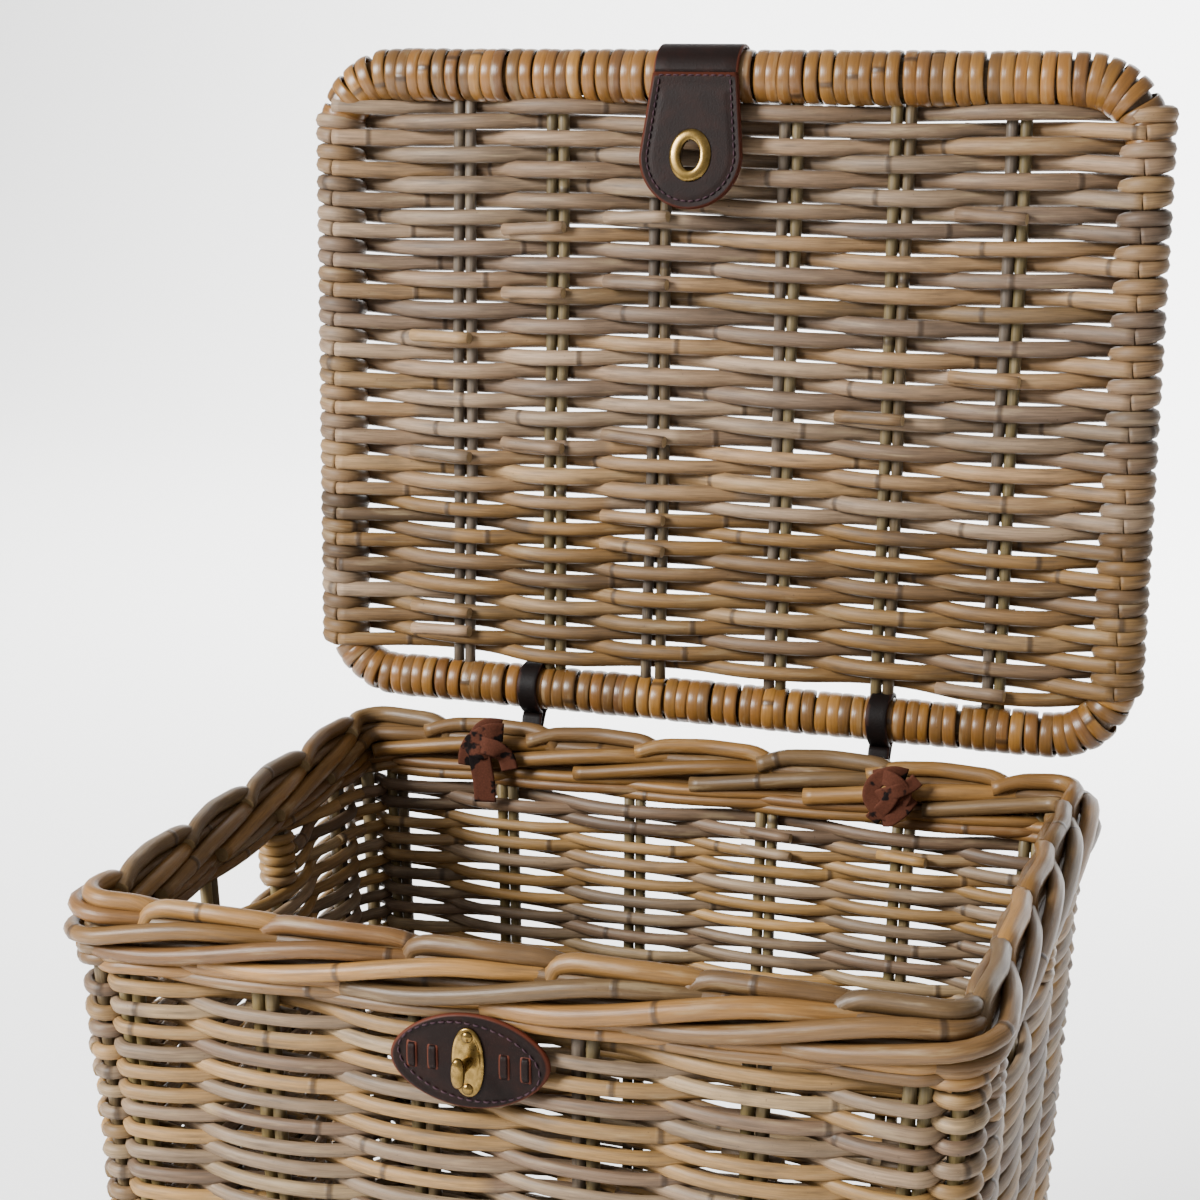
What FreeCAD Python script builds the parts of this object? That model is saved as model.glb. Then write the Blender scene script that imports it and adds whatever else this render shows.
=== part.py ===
"""Woven laundry basket with a hinged lid, a leather strap and a brass turnlock.

Frame: millimetres, +X to the right seen from the front, +Y to the back, +Z up.
The origin is the centre of the foot, on the floor. The lid stands open, leaning back on its thongs.
"""

import FreeCAD, Part

import math
import os

import Sketcher

SIZES = {
    # basket walls, border and foot
    "rim_height": 520,
    "border_length": 452,
    "border_depth": 349,
    "border_width": 28,
    "border_height": 28,
    "wale_height": 10,
    "foot_length": 404,
    "foot_depth": 308,
    "foot_width": 22,
    "foot_height": 16,
    "wall_length_top": 437,
    "wall_depth_top": 334,
    "wall_length_foot": 400,
    "wall_depth_foot": 304,
    "wall_thickness": 20,
    "corner_radius": 24,
    "base_thickness": 9,
    "base_stick_diameter": 6,
    "base_stick_pitch": 52,
    # upright stakes, set in pairs
    "stake_diameter": 6.5,
    "stake_spacing": 6.8,
    "stake_pitch": 78,
    "end_stake_place": 187,
    "corner_stake_diameter": 8,
    # hand holes in the two side walls
    "hole_height": 32,
    "post_front_place": -117,
    "post_back_place": 39,
    "post_width": 24,
    # lid frame, measured from the hinge line
    "lid_lean": 2,
    "hinge_rise": 15.4,
    "hinge_setback": 175,
    "lid_reach": 347.6,
    "side_rod_place": 226,
    "lid_bend_radius": 34,
    "front_rail_diameter": 24,
    "front_bound_diameter": 30,
    "back_rail_diameter": 21,
    "back_bound_diameter": 26,
    "binding_length": 372,
    "front_bend_diameter": 27,
    "back_bend_diameter": 24,
    "side_rod_diameter": 15,
    "side_wrap_diameter": 28,
    "lid_weave_thickness": 18,
    "lid_weave_start": 16.4,
    # leather hinge thongs
    "thong_width": 12,
    "thong_clearance": 0.3,
    "thong_thickness": 2.1,
    "knot_width": 34,
    "knot_height": 30,
    "knot_thickness": 11,
    # closing strap and its eyelet
    "strap_place": -11,
    "strap_width": 47,
    "strap_thickness": 2.5,
    "strap_tail": 46,
    "strap_clearance": 0.4,
    "flap_disc_radius": 28.5,
    "flap_gap": 0.6,
    "eyelet_drop": 44,
    "eyelet_width": 23.4,
    "eyelet_length": 28,
    "eyelet_hole_width": 11.5,
    "eyelet_hole_length": 16.5,
    "eyelet_wall": 1,
    "eyelet_lip": 1.2,
    "washer_lip": 0.8,
    "washer_width": 21,
    "washer_length": 26,
    # clasp patch and turnlock on the front wall
    "patch_width": 76,
    "patch_height": 46,
    "patch_thickness": 3.6,
    "lace_width": 3,
    "lace_thickness": 1.2,
    "lace_length": 11,
    "tie_length": 12,
    "tie_rise": 5,
    "plate_width": 15.4,
    "plate_height": 33,
    "plate_thickness": 1.6,
    "rivet_diameter": 5.5,
    "rivet_height": 1.4,
    "rivet_offset": 12.4,
    "neck_diameter": 4.8,
    "neck_clearance": 0.1,
    "neck_length": 13.4,
    "neck_rise": 0.6,
    "wing_sink": 0.9,
    "neck_overlap": 1,
    "wing_width": 6.4,
    "wing_height": 14.5,
    "wing_thickness": 3.2,
}

# Upright pairs in the lid, at unequal spaces as they were set by hand.
LID_STAKE_PLACES = [-150, -94, -34, 38, 99, 160]
THONG_PLACES = {"left": -106, "right": 99}
KNOT_PLACES = {"left": -121, "right": 112}
KNOT_SINK = 4
# Lacing on the clasp's patch and ties on the strap's tail, across from their middles.
LACE_PLACES = (-27, -17, 17, 27)
TIE_PLACES = (-14, 14)

# The strap leaves the front rail here, as angles about the rail. 0 points away from the hinge.
STRAP_TOP_ANGLE = 97
STRAP_FIXED_END_ANGLE = -40
STRAP_BEND_HIGH_ANGLE = -52
STRAP_BEND_LOW_ANGLE = -79
STRAP_LEAVES_ANGLE = -82.5
FLAP_LEAN = 8.5
# With the lid shut, the flap's top sits here from the rail's centre and hangs nearly plumb.
SHUT_FLAP_TOP = (15.0, -27.0)
SHUT_FLAP_DIRECTION = 269.7
FASTENED_TILT = 12.3

doc = FreeCAD.newDocument("woven_basket")
sheet = doc.addObject("Spreadsheet::Sheet", "sizes")
for row, (alias, value) in enumerate(SIZES.items(), 1):
    sheet.set(f"A{row}", alias)
    sheet.set(f"B{row}", str(value))
    sheet.setAlias(f"B{row}", alias)
doc.recompute()

X_AXIS = FreeCAD.Vector(1, 0, 0)
Y_AXIS = FreeCAD.Vector(0, 1, 0)
Z_AXIS = FreeCAD.Vector(0, 0, 1)
nodes = {}


def size(alias):
    """A driving dimension, read back from the sheet."""
    return float(sheet.get(alias))


def turn(axis, degrees):
    return FreeCAD.Rotation(axis, degrees)


def at(x=0.0, y=0.0, z=0.0, rotation=None):
    return FreeCAD.Placement(FreeCAD.Vector(x, y, z), rotation or FreeCAD.Rotation())


def bind(thing, **expressions):
    """Ties each named property to an expression in the sheet's aliases."""
    for name, text in expressions.items():
        path = name.replace("__", ".")
        thing.setExpression(path, str(text))
    return thing


def primitive(kind, label, placement=None, **expressions):
    thing = doc.addObject(kind, label)
    if placement:
        thing.Placement = placement
    return bind(thing, **expressions)


def box(label, length, width, height, placement):
    return primitive("Part::Box", label, placement, Length=length, Width=width, Height=height)


def cylinder(label, diameter, height, placement, angle=360):
    return primitive("Part::Cylinder", label, placement, Radius=f"({diameter}) / 2", Height=height, Angle=angle)


def cut(label, base, tool):
    thing = doc.addObject("Part::Cut", label)
    thing.Base, thing.Tool = base, tool
    return thing


def fuse(label, parts):
    thing = doc.addObject("Part::MultiFuse", label)
    thing.Shapes = parts
    return thing


def group(label, parts):
    thing = doc.addObject("Part::Compound", label)
    thing.Links = parts
    return thing


def node(name, thing, placement=None):
    """Keeps an object as a sub-part under its own name."""
    thing.Label = name
    if placement:
        thing.Placement = placement
    nodes[name] = thing
    return thing


def oval(label, width, height, thickness, placement, lies_flat=False):
    """An elliptical plate facing -Y, its back on the placement. One that lies flat is wider than high."""
    upright = turn(X_AXIS, 90)
    major, minor = width, height
    if not lies_flat:
        upright, major, minor = upright * turn(Z_AXIS, 90), height, width
    edge = primitive("Part::Ellipse", label + "_edge", placement * at(rotation=upright),
                     MajorRadius=f"({major}) / 2", MinorRadius=f"({minor}) / 2")
    plate = doc.addObject("Part::Extrusion", label)
    plate.Base, plate.Solid, plate.DirMode = edge, True, "Custom"
    plate.Dir = placement.Rotation.multVec(FreeCAD.Vector(0, -1, 0))
    return bind(plate, LengthFwd=thickness)


def between(top, foot, height):
    """An expression for a wall measure at a height, straight from its foot value to its top value."""
    rise = "(sizes.rim_height - sizes.border_height - sizes.wale_height - sizes.foot_height)"
    return f"(({foot}) + (({top}) - ({foot})) * (({height}) - sizes.foot_height) / {rise})"


WALL_TOP = "(sizes.rim_height - sizes.border_height - sizes.wale_height)"
HOLE_FOOT = f"({WALL_TOP} - sizes.hole_height)"
FOOT = "sizes.foot_height"
LENGTH = ("sizes.wall_length_top / 2", "sizes.wall_length_foot / 2")
DEPTH = ("sizes.wall_depth_top / 2", "sizes.wall_depth_foot / 2")
# Each wall's own frame stands on its outer normal; this turns it to its side of the basket.
WALL_TURN = {"front": 0, "right": 90, "back": 180, "left": 270}


def wall_places(side):
    """The half length along a wall and the half distance out to its outer face, at top and foot."""
    return (LENGTH, DEPTH) if side in ("front", "back") else (DEPTH, LENGTH)


def wall_slab(label, side, low, high, near=None, far=None):
    """A leaning slab of one wall between two heights, and between two places along it (as top values)."""
    along, out = wall_places(side)
    slab = doc.addObject("Part::Wedge", label)
    for prefix, level in (("X{}", low), ("X2{}", high)):
        straight = f"({between(*along, level)} - sizes.corner_radius)"
        straight_top = f"({along[0]} - sizes.corner_radius)"
        ends = {"min": near, "max": far}
        for end, sign in (("min", -1), ("max", 1)):
            place = ends[end]
            text = f"{sign} * {straight}" if place is None else f"({place}) * {straight} / {straight_top}"
            bind(slab, **{prefix.format(end): text})
    for prefix, level in (("Z{}", low), ("Z2{}", high)):
        outer = between(*out, level)
        bind(slab, **{prefix.format("max"): outer, prefix.format("min"): f"{outer} - sizes.wall_thickness"})
    bind(slab, Ymin=low, Ymax=high)
    slab.Placement = at(rotation=turn(Z_AXIS, WALL_TURN[side]) * turn(X_AXIS, 90))
    return slab


def leaning_rod(label, diameter, foot, top):
    """A round rod from one point to another with level ends."""
    end = primitive("Part::Circle", label + "_end", at(*foot), Radius=f"({diameter}) / 2")
    rod = doc.addObject("Part::Extrusion", label)
    rod.Base, rod.Solid, rod.DirMode = end, True, "Custom"
    rod.Dir = FreeCAD.Vector(*top) - FreeCAD.Vector(*foot)
    return rod


def wall_point(side, place, height):
    """The middle of a wall's thickness at a place along it (its top value) and a height."""
    rise = size("rim_height") - size("border_height") - size("wale_height") - size("foot_height")
    share = (height - size("foot_height")) / rise

    def measure(kind):
        top, foot = size(f"wall_{kind}_top") / 2, size(f"wall_{kind}_foot") / 2
        return foot + (top - foot) * share, top

    along, out = ("length", "depth") if side in ("front", "back") else ("depth", "length")
    straight, straight_top = (value - size("corner_radius") for value in measure(along))
    offset = measure(out)[0] - size("wall_thickness") / 2
    spot = FreeCAD.Vector(place * straight / straight_top, -offset, height)
    return turn(Z_AXIS, WALL_TURN[side]).multVec(spot)


def stake_pair(label, side, place):
    """Two rods side by side through the whole wall at one place along it."""
    foot_z = size("foot_height")
    top_z = size("rim_height") - size("border_height") - size("wale_height")
    rods = []
    for number, sign in enumerate((-1, 1), 1):
        spot = place + sign * size("stake_spacing") / 2
        rods.append(leaning_rod(f"{label}_{number}", "sizes.stake_diameter",
                                wall_point(side, spot, foot_z), wall_point(side, spot, top_z)))
    return rods


def ring_corners(label, length, depth, width, height, low):
    """Four quarter-round blocks that turn a square-edged ring's corners."""
    blocks = []
    for number, (sx, sy, angle) in enumerate(((1, 1, 0), (-1, 1, 90), (-1, -1, 180), (1, -1, 270)), 1):
        block = cylinder(f"{label}_{number}", f"2 * {width}", height, at(rotation=turn(Z_AXIS, angle)), 90)
        bind(block, Placement__Base__x=f"{sx} * ({length} / 2 - {width})",
             Placement__Base__y=f"{sy} * ({depth} / 2 - {width})", Placement__Base__z=low)
        blocks.append(block)
    return blocks


def ring_bars(label, length, depth, width, height, low):
    """The four straight sides of a ring, front, back, left and right."""
    bars = {}
    for side in ("front", "back", "left", "right"):
        facing = side in ("front", "back")
        long_side, short_side = (length, depth) if facing else (depth, length)
        run = f"({long_side} - 2 * {width})"
        sizes_xy = (run, width) if facing else (width, run)
        bar = box(f"{label}_{side}", *sizes_xy, height, at())
        near = f"-{short_side} / 2" if side in ("front", "left") else f"{short_side} / 2 - {width}"
        start = f"-{run} / 2"
        bind(bar, Placement__Base__x=start if facing else near,
             Placement__Base__y=near if facing else start, Placement__Base__z=low)
        bars[side] = bar
    return bars


def make_foot_and_base():
    ring = ("sizes.foot_length", "sizes.foot_depth", "sizes.foot_width", "sizes.foot_height", "0")
    bars = ring_bars("foot", *ring)
    node("foot_border", group("foot_ring", list(bars.values()) + ring_corners("foot_corner", *ring)))
    sticks = []
    inner_length = "(sizes.foot_length - 2 * sizes.foot_width)"
    inner_depth = "(sizes.foot_depth - 2 * sizes.foot_width)"
    for number in range(-3, 4):
        stick = cylinder(f"base_stick_{number + 4}", "sizes.base_stick_diameter", inner_depth,
                         at(rotation=turn(X_AXIS, -90)))
        bind(stick, Placement__Base__x=f"{number} * sizes.base_stick_pitch",
             Placement__Base__y=f"-{inner_depth} / 2", Placement__Base__z="sizes.base_thickness / 2")
        sticks.append(stick)
    node("base_sticks", group("base_stick_set", sticks))
    slab = box("base_slab", inner_length, inner_depth, "sizes.base_thickness", at())
    bind(slab, Placement__Base__x=f"-{inner_length} / 2", Placement__Base__y=f"-{inner_depth} / 2")
    node("base_weave", cut("base_weave_cut", slab, nodes["base_sticks"]))


def make_stakes():
    pitch, end = size("stake_pitch"), size("end_stake_place")
    faces = [-end, -1.5 * pitch, -0.5 * pitch, 0.5 * pitch, 1.5 * pitch, end]
    for side in ("front", "back"):
        rods = [rod for n, place in enumerate(faces) for rod in stake_pair(f"{side}_stake_{n}", side, place)]
        node(f"{side}_stakes", group(f"{side}_stake_set", rods))
    # Along a side wall, places run to the back on the right and to the front on the left.
    for side, sense in (("right", 1), ("left", -1)):
        rods = []
        for n, place in enumerate((-1.5 * pitch, 0.5 * pitch, 1.5 * pitch)):
            rods += stake_pair(f"{side}_stake_{n}", side, sense * place)
        node(f"{side}_stakes", group(f"{side}_stake_set", rods))
        bare = stake_pair(f"{side}_bare_stake", side, sense * -0.5 * pitch)
        node(f"{side}_handle_stakes", group(f"{side}_handle_stake_set", bare))
    rods = []
    for number, (sx, sy) in enumerate(((1, 1), (-1, 1), (-1, -1), (1, -1)), 1):
        reach = (size("corner_radius") - size("wall_thickness") / 2) * math.sqrt(0.5) - size("corner_radius")
        ends = []
        for level, height in (("foot", size("foot_height")),
                              ("top", size("rim_height") - size("border_height") - size("wale_height"))):
            ends.append((sx * (size(f"wall_length_{level}") / 2 + reach),
                         sy * (size(f"wall_depth_{level}") / 2 + reach), height))
        rods.append(leaning_rod(f"corner_stake_{number}", "sizes.corner_stake_diameter", *ends))
    node("corner_stakes", group("corner_stake_set", rods))


def make_walls():
    for side in ("front", "back"):
        slab = wall_slab(f"{side}_slab", side, FOOT, WALL_TOP)
        node(f"{side}_weave", cut(f"{side}_weave_cut", slab, nodes[f"{side}_stakes"]))
    for side, sense in (("right", 1), ("left", -1)):
        lower = wall_slab(f"{side}_lower_slab", side, FOOT, HOLE_FOOT)
        stakes = group(f"{side}_all_stakes", [nodes[f"{side}_stakes"], nodes[f"{side}_handle_stakes"]])
        node(f"{side}_weave_lower", cut(f"{side}_lower_cut", lower, stakes))
        front_edge = f"{sense} * (sizes.post_front_place - sizes.post_width / 2)"
        back_edge = f"{sense} * (sizes.post_back_place + sizes.post_width / 2)"
        spans = {"front": (None, front_edge), "back": (back_edge, None)}
        for where, (near, far) in spans.items():
            if sense < 0:
                near, far = far, near
            upper = wall_slab(f"{side}_{where}_slab", side, HOLE_FOOT, WALL_TOP, near, far)
            node(f"{side}_weave_{where}", cut(f"{side}_{where}_cut", upper, nodes[f"{side}_stakes"]))
        make_posts(side, sense)


def make_posts(side, sense):
    """The coils bound round the stakes at both ends of a hand hole."""
    top = size("rim_height") - size("border_height") - size("wale_height")
    foot = top - size("hole_height")
    coils = []
    for where in ("front", "back"):
        place = sense * size(f"post_{where}_place")
        coils.append(leaning_rod(f"{side}_{where}_coil", "sizes.post_width - 0.4",
                                 wall_point(side, place, foot), wall_point(side, place, top)))
    pair = group(f"{side}_coils", coils)
    node(f"{side}_handle_wraps", cut(f"{side}_wraps_cut", pair, nodes[f"{side}_stakes"]))


def quarter_ring_sketch(label):
    """A quarter of the walls' corner in plan, from the outer radius to the inner one."""
    sketch = doc.addObject("Sketcher::SketchObject", label)
    quarter = math.pi / 2
    origin = FreeCAD.Vector()
    outer, inner = size("corner_radius"), size("corner_radius") - size("wall_thickness")
    for radius in (outer, inner):
        sketch.addGeometry(Part.ArcOfCircle(Part.Circle(origin, Z_AXIS, radius), 0, quarter), False)
    for direction in (X_AXIS, Y_AXIS):
        sketch.addGeometry(Part.LineSegment(direction * inner, direction * outer), False)
    for arc in (0, 1):
        sketch.addConstraint(Sketcher.Constraint("Coincident", arc, 3, -1, 1))
    for line, arc_end, axis in ((2, 1, -1), (3, 2, -2)):
        sketch.addConstraint(Sketcher.Constraint("Coincident", line, 1, 1, arc_end))
        sketch.addConstraint(Sketcher.Constraint("Coincident", line, 2, 0, arc_end))
        sketch.addConstraint(Sketcher.Constraint("PointOnObject", line, 2, axis))
        sketch.addConstraint(Sketcher.Constraint("PointOnObject", line, 1, axis))
    for arc, expression in ((0, "sizes.corner_radius"), (1, "sizes.corner_radius - sizes.wall_thickness")):
        number = sketch.addConstraint(Sketcher.Constraint("Radius", arc, (outer, inner)[arc]))
        sketch.setExpression(f"Constraints[{number}]", expression)
    return sketch


def make_corners():
    corners = {"back_right": (1, 1, 0), "back_left": (-1, 1, 90),
               "front_left": (-1, -1, 180), "front_right": (1, -1, 270)}
    radius = size("corner_radius")
    top_z = size("rim_height") - size("border_height") - size("wale_height")
    for name, (sx, sy, angle) in corners.items():
        foot = FreeCAD.Vector(sx * (size("wall_length_foot") / 2 - radius),
                              sy * (size("wall_depth_foot") / 2 - radius), size("foot_height"))
        top = FreeCAD.Vector(sx * (size("wall_length_top") / 2 - radius),
                             sy * (size("wall_depth_top") / 2 - radius), top_z)
        sketch = quarter_ring_sketch(f"{name}_plan")
        sketch.Placement = at(*foot, turn(Z_AXIS, angle))
        block = doc.addObject("Part::Extrusion", f"{name}_block")
        block.Base, block.Solid, block.DirMode, block.Dir = sketch, True, "Custom", top - foot
        node(f"{name}_corner_weave", cut(f"{name}_corner_cut", block, nodes["corner_stakes"]))


def make_border():
    wale = ("sizes.wall_length_top", "sizes.wall_depth_top", "sizes.wall_thickness",
            "sizes.wale_height", WALL_TOP)
    bars = ring_bars("wale", *wale)
    node("top_wale", group("wale_ring", list(bars.values()) + ring_corners("wale_corner", *wale)))
    rim = ("sizes.border_length", "sizes.border_depth", "sizes.border_width",
           "sizes.border_height", "sizes.rim_height - sizes.border_height")
    for side, bar in ring_bars("rim", *rim).items():
        node(f"{side}_border", bar)
    node("border_corners", group("rim_corner_set", ring_corners("rim_corner", *rim)))


def make_thongs():
    """A leather loop round the back rail, its tail over the border, and its knot inside."""
    rim = size("rim_height")
    width = size("thong_width")
    inside_y = size("border_depth") / 2 - size("border_width")
    bore = "(sizes.back_bound_diameter + 2 * sizes.thong_clearance)"
    for side, place in THONG_PLACES.items():
        centre = at(place - width / 2, size("hinge_setback"), rim + size("hinge_rise"),
                    turn(Y_AXIS, 90))
        outer = cylinder(f"{side}_loop_outer", f"{bore} + 2 * sizes.thong_thickness", "sizes.thong_width", centre)
        inner = cylinder(f"{side}_loop_inner", bore, "sizes.thong_width", centre)
        over = box(f"{side}_thong_over", "sizes.thong_width",
                   "sizes.hinge_setback - sizes.border_depth / 2 + sizes.border_width + sizes.thong_thickness",
                   "sizes.thong_thickness", at(place - width / 2, inside_y - size("thong_thickness"), rim))
        down = box(f"{side}_thong_down", "sizes.thong_width", "sizes.thong_thickness", "sizes.border_height",
                   at(place - width / 2, inside_y - size("thong_thickness"), rim - size("border_height")))
        body = fuse(f"{side}_thong_body", [outer, over, down])
        node(f"hinge_thong_{side}", cut(f"{side}_thong", body, inner))
        knot = box(f"{side}_knot_block", "sizes.knot_width", "sizes.knot_thickness", "sizes.knot_height",
                   at(KNOT_PLACES[side] - size("knot_width") / 2,
                      inside_y - size("thong_thickness") - size("knot_thickness"),
                      rim - size("border_height") / 2 - size("knot_height") / 2 - KNOT_SINK))
        node(f"hinge_knot_{side}", knot)


def strap_pivot():
    """Where the strap turns against the lid, from the front rail's centre, and how far it turns.

    The flap's top goes from the place where it leaves the rail to its place with the lid shut.
    One turn about one point does both, so the point is at the apex over the middle of the two.
    """
    radius = size("front_bound_diameter") / 2 + size("strap_clearance") + size("strap_thickness") / 2
    leaves = math.radians(STRAP_LEAVES_ANGLE)
    start = (radius * math.cos(leaves), radius * math.sin(leaves))
    swing = SHUT_FLAP_DIRECTION - (180 + FLAP_LEAN)
    reach = 0.5 / math.tan(math.radians(swing / 2))
    dz, dy = SHUT_FLAP_TOP[0] - start[0], SHUT_FLAP_TOP[1] - start[1]
    pivot = (start[0] + dz / 2 - dy * reach, start[1] + dy / 2 + dz * reach)
    return start, pivot, swing


def lock_height():
    """The turnlock's height: where the eyelet comes with the lid shut and the strap pressed home."""
    tilt = math.radians(FASTENED_TILT)
    drop = -SHUT_FLAP_TOP[1] + size("eyelet_drop") * math.cos(tilt)
    return size("rim_height") + size("hinge_rise") - drop


def make_clasp():
    """The laced leather patch on the front wall, the turnlock's riveted plate and its knob."""
    place, height = size("strap_place"), lock_height()
    wall_y = -size("wall_depth_top") / 2
    patch = oval("patch_blank", "sizes.patch_width", "sizes.patch_height", "sizes.patch_thickness",
                 at(place, wall_y, height), lies_flat=True)
    hole = cylinder("patch_hole", "sizes.neck_diameter + 4 * sizes.neck_clearance", "2 * sizes.patch_thickness",
                    at(place, wall_y, height, turn(X_AXIS, 90)))
    node("clasp_patch", cut("patch_pierced", patch, hole))
    face_y = wall_y - size("patch_thickness")
    tabs = []
    for number, offset in enumerate(LACE_PLACES, 1):
        corner = at(place + offset - size("lace_width") / 2, face_y - size("lace_thickness"),
                    height - size("lace_length") / 2)
        tabs.append(box(f"lace_{number}", "sizes.lace_width", "sizes.lace_thickness", "sizes.lace_length", corner))
    node("patch_lacing", group("lace_set", tabs))
    plate = oval("plate_blank", "sizes.plate_width", "sizes.plate_height", "sizes.plate_thickness",
                 at(place, face_y, height))
    bore = cylinder("plate_bore", "sizes.neck_diameter + 2 * sizes.neck_clearance", "2 * sizes.plate_thickness",
                    at(place, face_y, height, turn(X_AXIS, 90)))
    node("turnlock_plate", cut("plate_bored", plate, bore))
    plate_y = face_y - size("plate_thickness")
    heads = []
    for sign in (-1, 1):
        heads.append(cylinder(f"rivet_{sign + 2}", "sizes.rivet_diameter", "sizes.rivet_height",
                              at(place, plate_y, height + sign * size("rivet_offset"), turn(X_AXIS, 90))))
    node("turnlock_rivets", group("rivet_set", heads))
    neck_y = wall_y - size("neck_rise")
    neck = cylinder("knob_neck", "sizes.neck_diameter", "sizes.neck_length + sizes.neck_overlap",
                    at(place, neck_y, height, turn(X_AXIS, 90)))
    wing = oval("knob_wing", "sizes.wing_width", "sizes.wing_height", "sizes.wing_thickness",
                at(place, neck_y - size("neck_length") - size("wing_sink"), height))
    node("turnlock_knob", fuse("knob_body", [neck, wing]))


def lid_frame():
    return at(0, size("hinge_setback"), size("rim_height") + size("hinge_rise"), turn(X_AXIS, -size("lid_lean")))


def make_lid_frame():
    lid = lid_frame()
    reach, bend = size("lid_reach"), size("lid_bend_radius")
    side_x = size("side_rod_place")
    along_x = turn(Y_AXIS, 90)
    straight = "2 * (sizes.side_rod_place - sizes.lid_bend_radius)"
    all_bends = []
    for name, height in (("front", reach), ("back", 0)):
        rail = cylinder(f"{name}_rail", f"sizes.{name}_rail_diameter", straight,
                        at(bend - side_x, 0, height, along_x))
        node(f"lid_{name}_rail", rail, lid * rail.Placement)
        outer = cylinder(f"{name}_bound", f"sizes.{name}_bound_diameter", "sizes.binding_length",
                         at(-size("binding_length") / 2, 0, height, along_x))
        core = cylinder(f"{name}_core", f"sizes.{name}_rail_diameter", "sizes.binding_length", outer.Placement)
        node(f"{name}_rail_binding", cut(f"{name}_binding", outer, core), lid)
        bends = []
        for sign in (-1, 1):
            centre_z = height - bend if name == "front" else height + bend
            bent = primitive("Part::Torus", f"{name}_bend_{sign + 2}", None, Radius1="sizes.lid_bend_radius",
                             Radius2=f"sizes.{name}_bend_diameter / 2", Angle3="90")
            start = {("front", 1): 0, ("front", -1): 90, ("back", -1): 180, ("back", 1): 270}[(name, sign)]
            bent.Placement = at(sign * (side_x - bend), 0, centre_z, turn(X_AXIS, 90) * turn(Z_AXIS, start))
            bends.append(bent)
        node(f"lid_{name}_bends", group(f"{name}_bend_set", bends), lid)
        all_bends += bends
    rods, wraps = [], []
    rod_length = "sizes.lid_reach - 2 * sizes.lid_bend_radius"
    for sign in (-1, 1):
        spot = at(sign * side_x, 0, bend)
        rods.append(cylinder(f"side_rod_{sign + 2}", "sizes.side_rod_diameter", rod_length, spot))
        wrap = cylinder(f"side_wrap_{sign + 2}", "sizes.side_wrap_diameter", rod_length, spot)
        wraps.append(cut(f"side_wrap_cut_{sign + 2}", wrap, rods[-1]))
    node("lid_side_rods", group("side_rod_set", rods), lid)
    node("lid_side_wraps", group("side_wrap_set", wraps), lid)
    return all_bends


def make_lid_panel(bends):
    """The woven slab between the rails, cut round its stakes and the frame's four bends."""
    lid = lid_frame()
    start = size("lid_weave_start")
    rods = []
    for number, place in enumerate(LID_STAKE_PLACES):
        for sign in (-1, 1):
            rods.append(cylinder(f"lid_stake_{number}_{sign + 2}", "sizes.stake_diameter",
                                 "sizes.lid_reach - sizes.front_bound_diameter / 2 - sizes.lid_weave_start",
                                 at(place + sign * size("stake_spacing") / 2, 0, start)))
    passing = group("lid_panel_tool", rods + bends)
    half = size("side_rod_place") - size("side_wrap_diameter") / 2
    slab = box("lid_slab", "2 * sizes.side_rod_place - sizes.side_wrap_diameter", "sizes.lid_weave_thickness",
               "sizes.lid_reach - sizes.front_bound_diameter / 2 - sizes.lid_weave_start",
               at(-half, -size("lid_weave_thickness") / 2, start))
    node("lid_weave", cut("lid_panel", slab, passing), lid)
    node("lid_stakes", group("lid_stake_set", rods), lid)


def rail_sector(label, inner, outer, start, end):
    """A band round the front rail, as wide as the strap, between two angles about the rail."""
    edge = at(size("strap_place") - size("strap_width") / 2, 0, size("lid_reach"))
    first_edge = turn(X_AXIS, -end) * turn(Y_AXIS, 90) * turn(Z_AXIS, 180)
    band = cylinder(f"{label}_outer", f"2 * ({outer})", "sizes.strap_width", edge * at(rotation=first_edge),
                    end - start)
    core = cylinder(f"{label}_core", f"2 * ({inner})", "sizes.strap_width",
                    edge * at(rotation=turn(Y_AXIS, 90)))
    return cut(label, band, core)


def make_strap():
    lid = lid_frame()
    bound = "sizes.front_bound_diameter / 2"
    outer = f"{bound} + sizes.strap_thickness"
    arc = rail_sector("strap_arc", bound, outer, STRAP_FIXED_END_ANGLE, STRAP_TOP_ANGLE)
    angle = math.radians(STRAP_TOP_ANGLE)
    radius = size("front_bound_diameter") / 2
    tail = box("strap_tail", "sizes.strap_width", "sizes.strap_thickness", "sizes.strap_tail",
               at(size("strap_place") - size("strap_width") / 2, radius * math.sin(angle),
                  size("lid_reach") + radius * math.cos(angle), turn(X_AXIS, STRAP_TOP_ANGLE - 90)))
    tail.Placement = tail.Placement * at(0, 0, -size("strap_tail"))
    node("strap_anchor", fuse("strap_anchor_body", [arc, tail]), lid)
    ties = []
    for number, offset in enumerate(TIE_PLACES, 1):
        tie = box(f"strap_tie_{number}", "sizes.lace_width", "sizes.lace_thickness", "sizes.tie_length", at())
        across = (size("strap_width") - size("lace_width")) / 2 + offset
        tie.Placement = tail.Placement * at(across, size("strap_thickness"), size("tie_rise"))
        ties.append(tie)
    node("strap_ties", group("strap_tie_set", ties), lid)
    bend = rail_sector("strap_bend_band", f"{bound} + sizes.strap_clearance", f"{outer} + sizes.strap_clearance",
                       STRAP_BEND_LOW_ANGLE, STRAP_BEND_HIGH_ANGLE)
    node("strap_bend", bend, lid)
    make_flap(lid)


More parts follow.
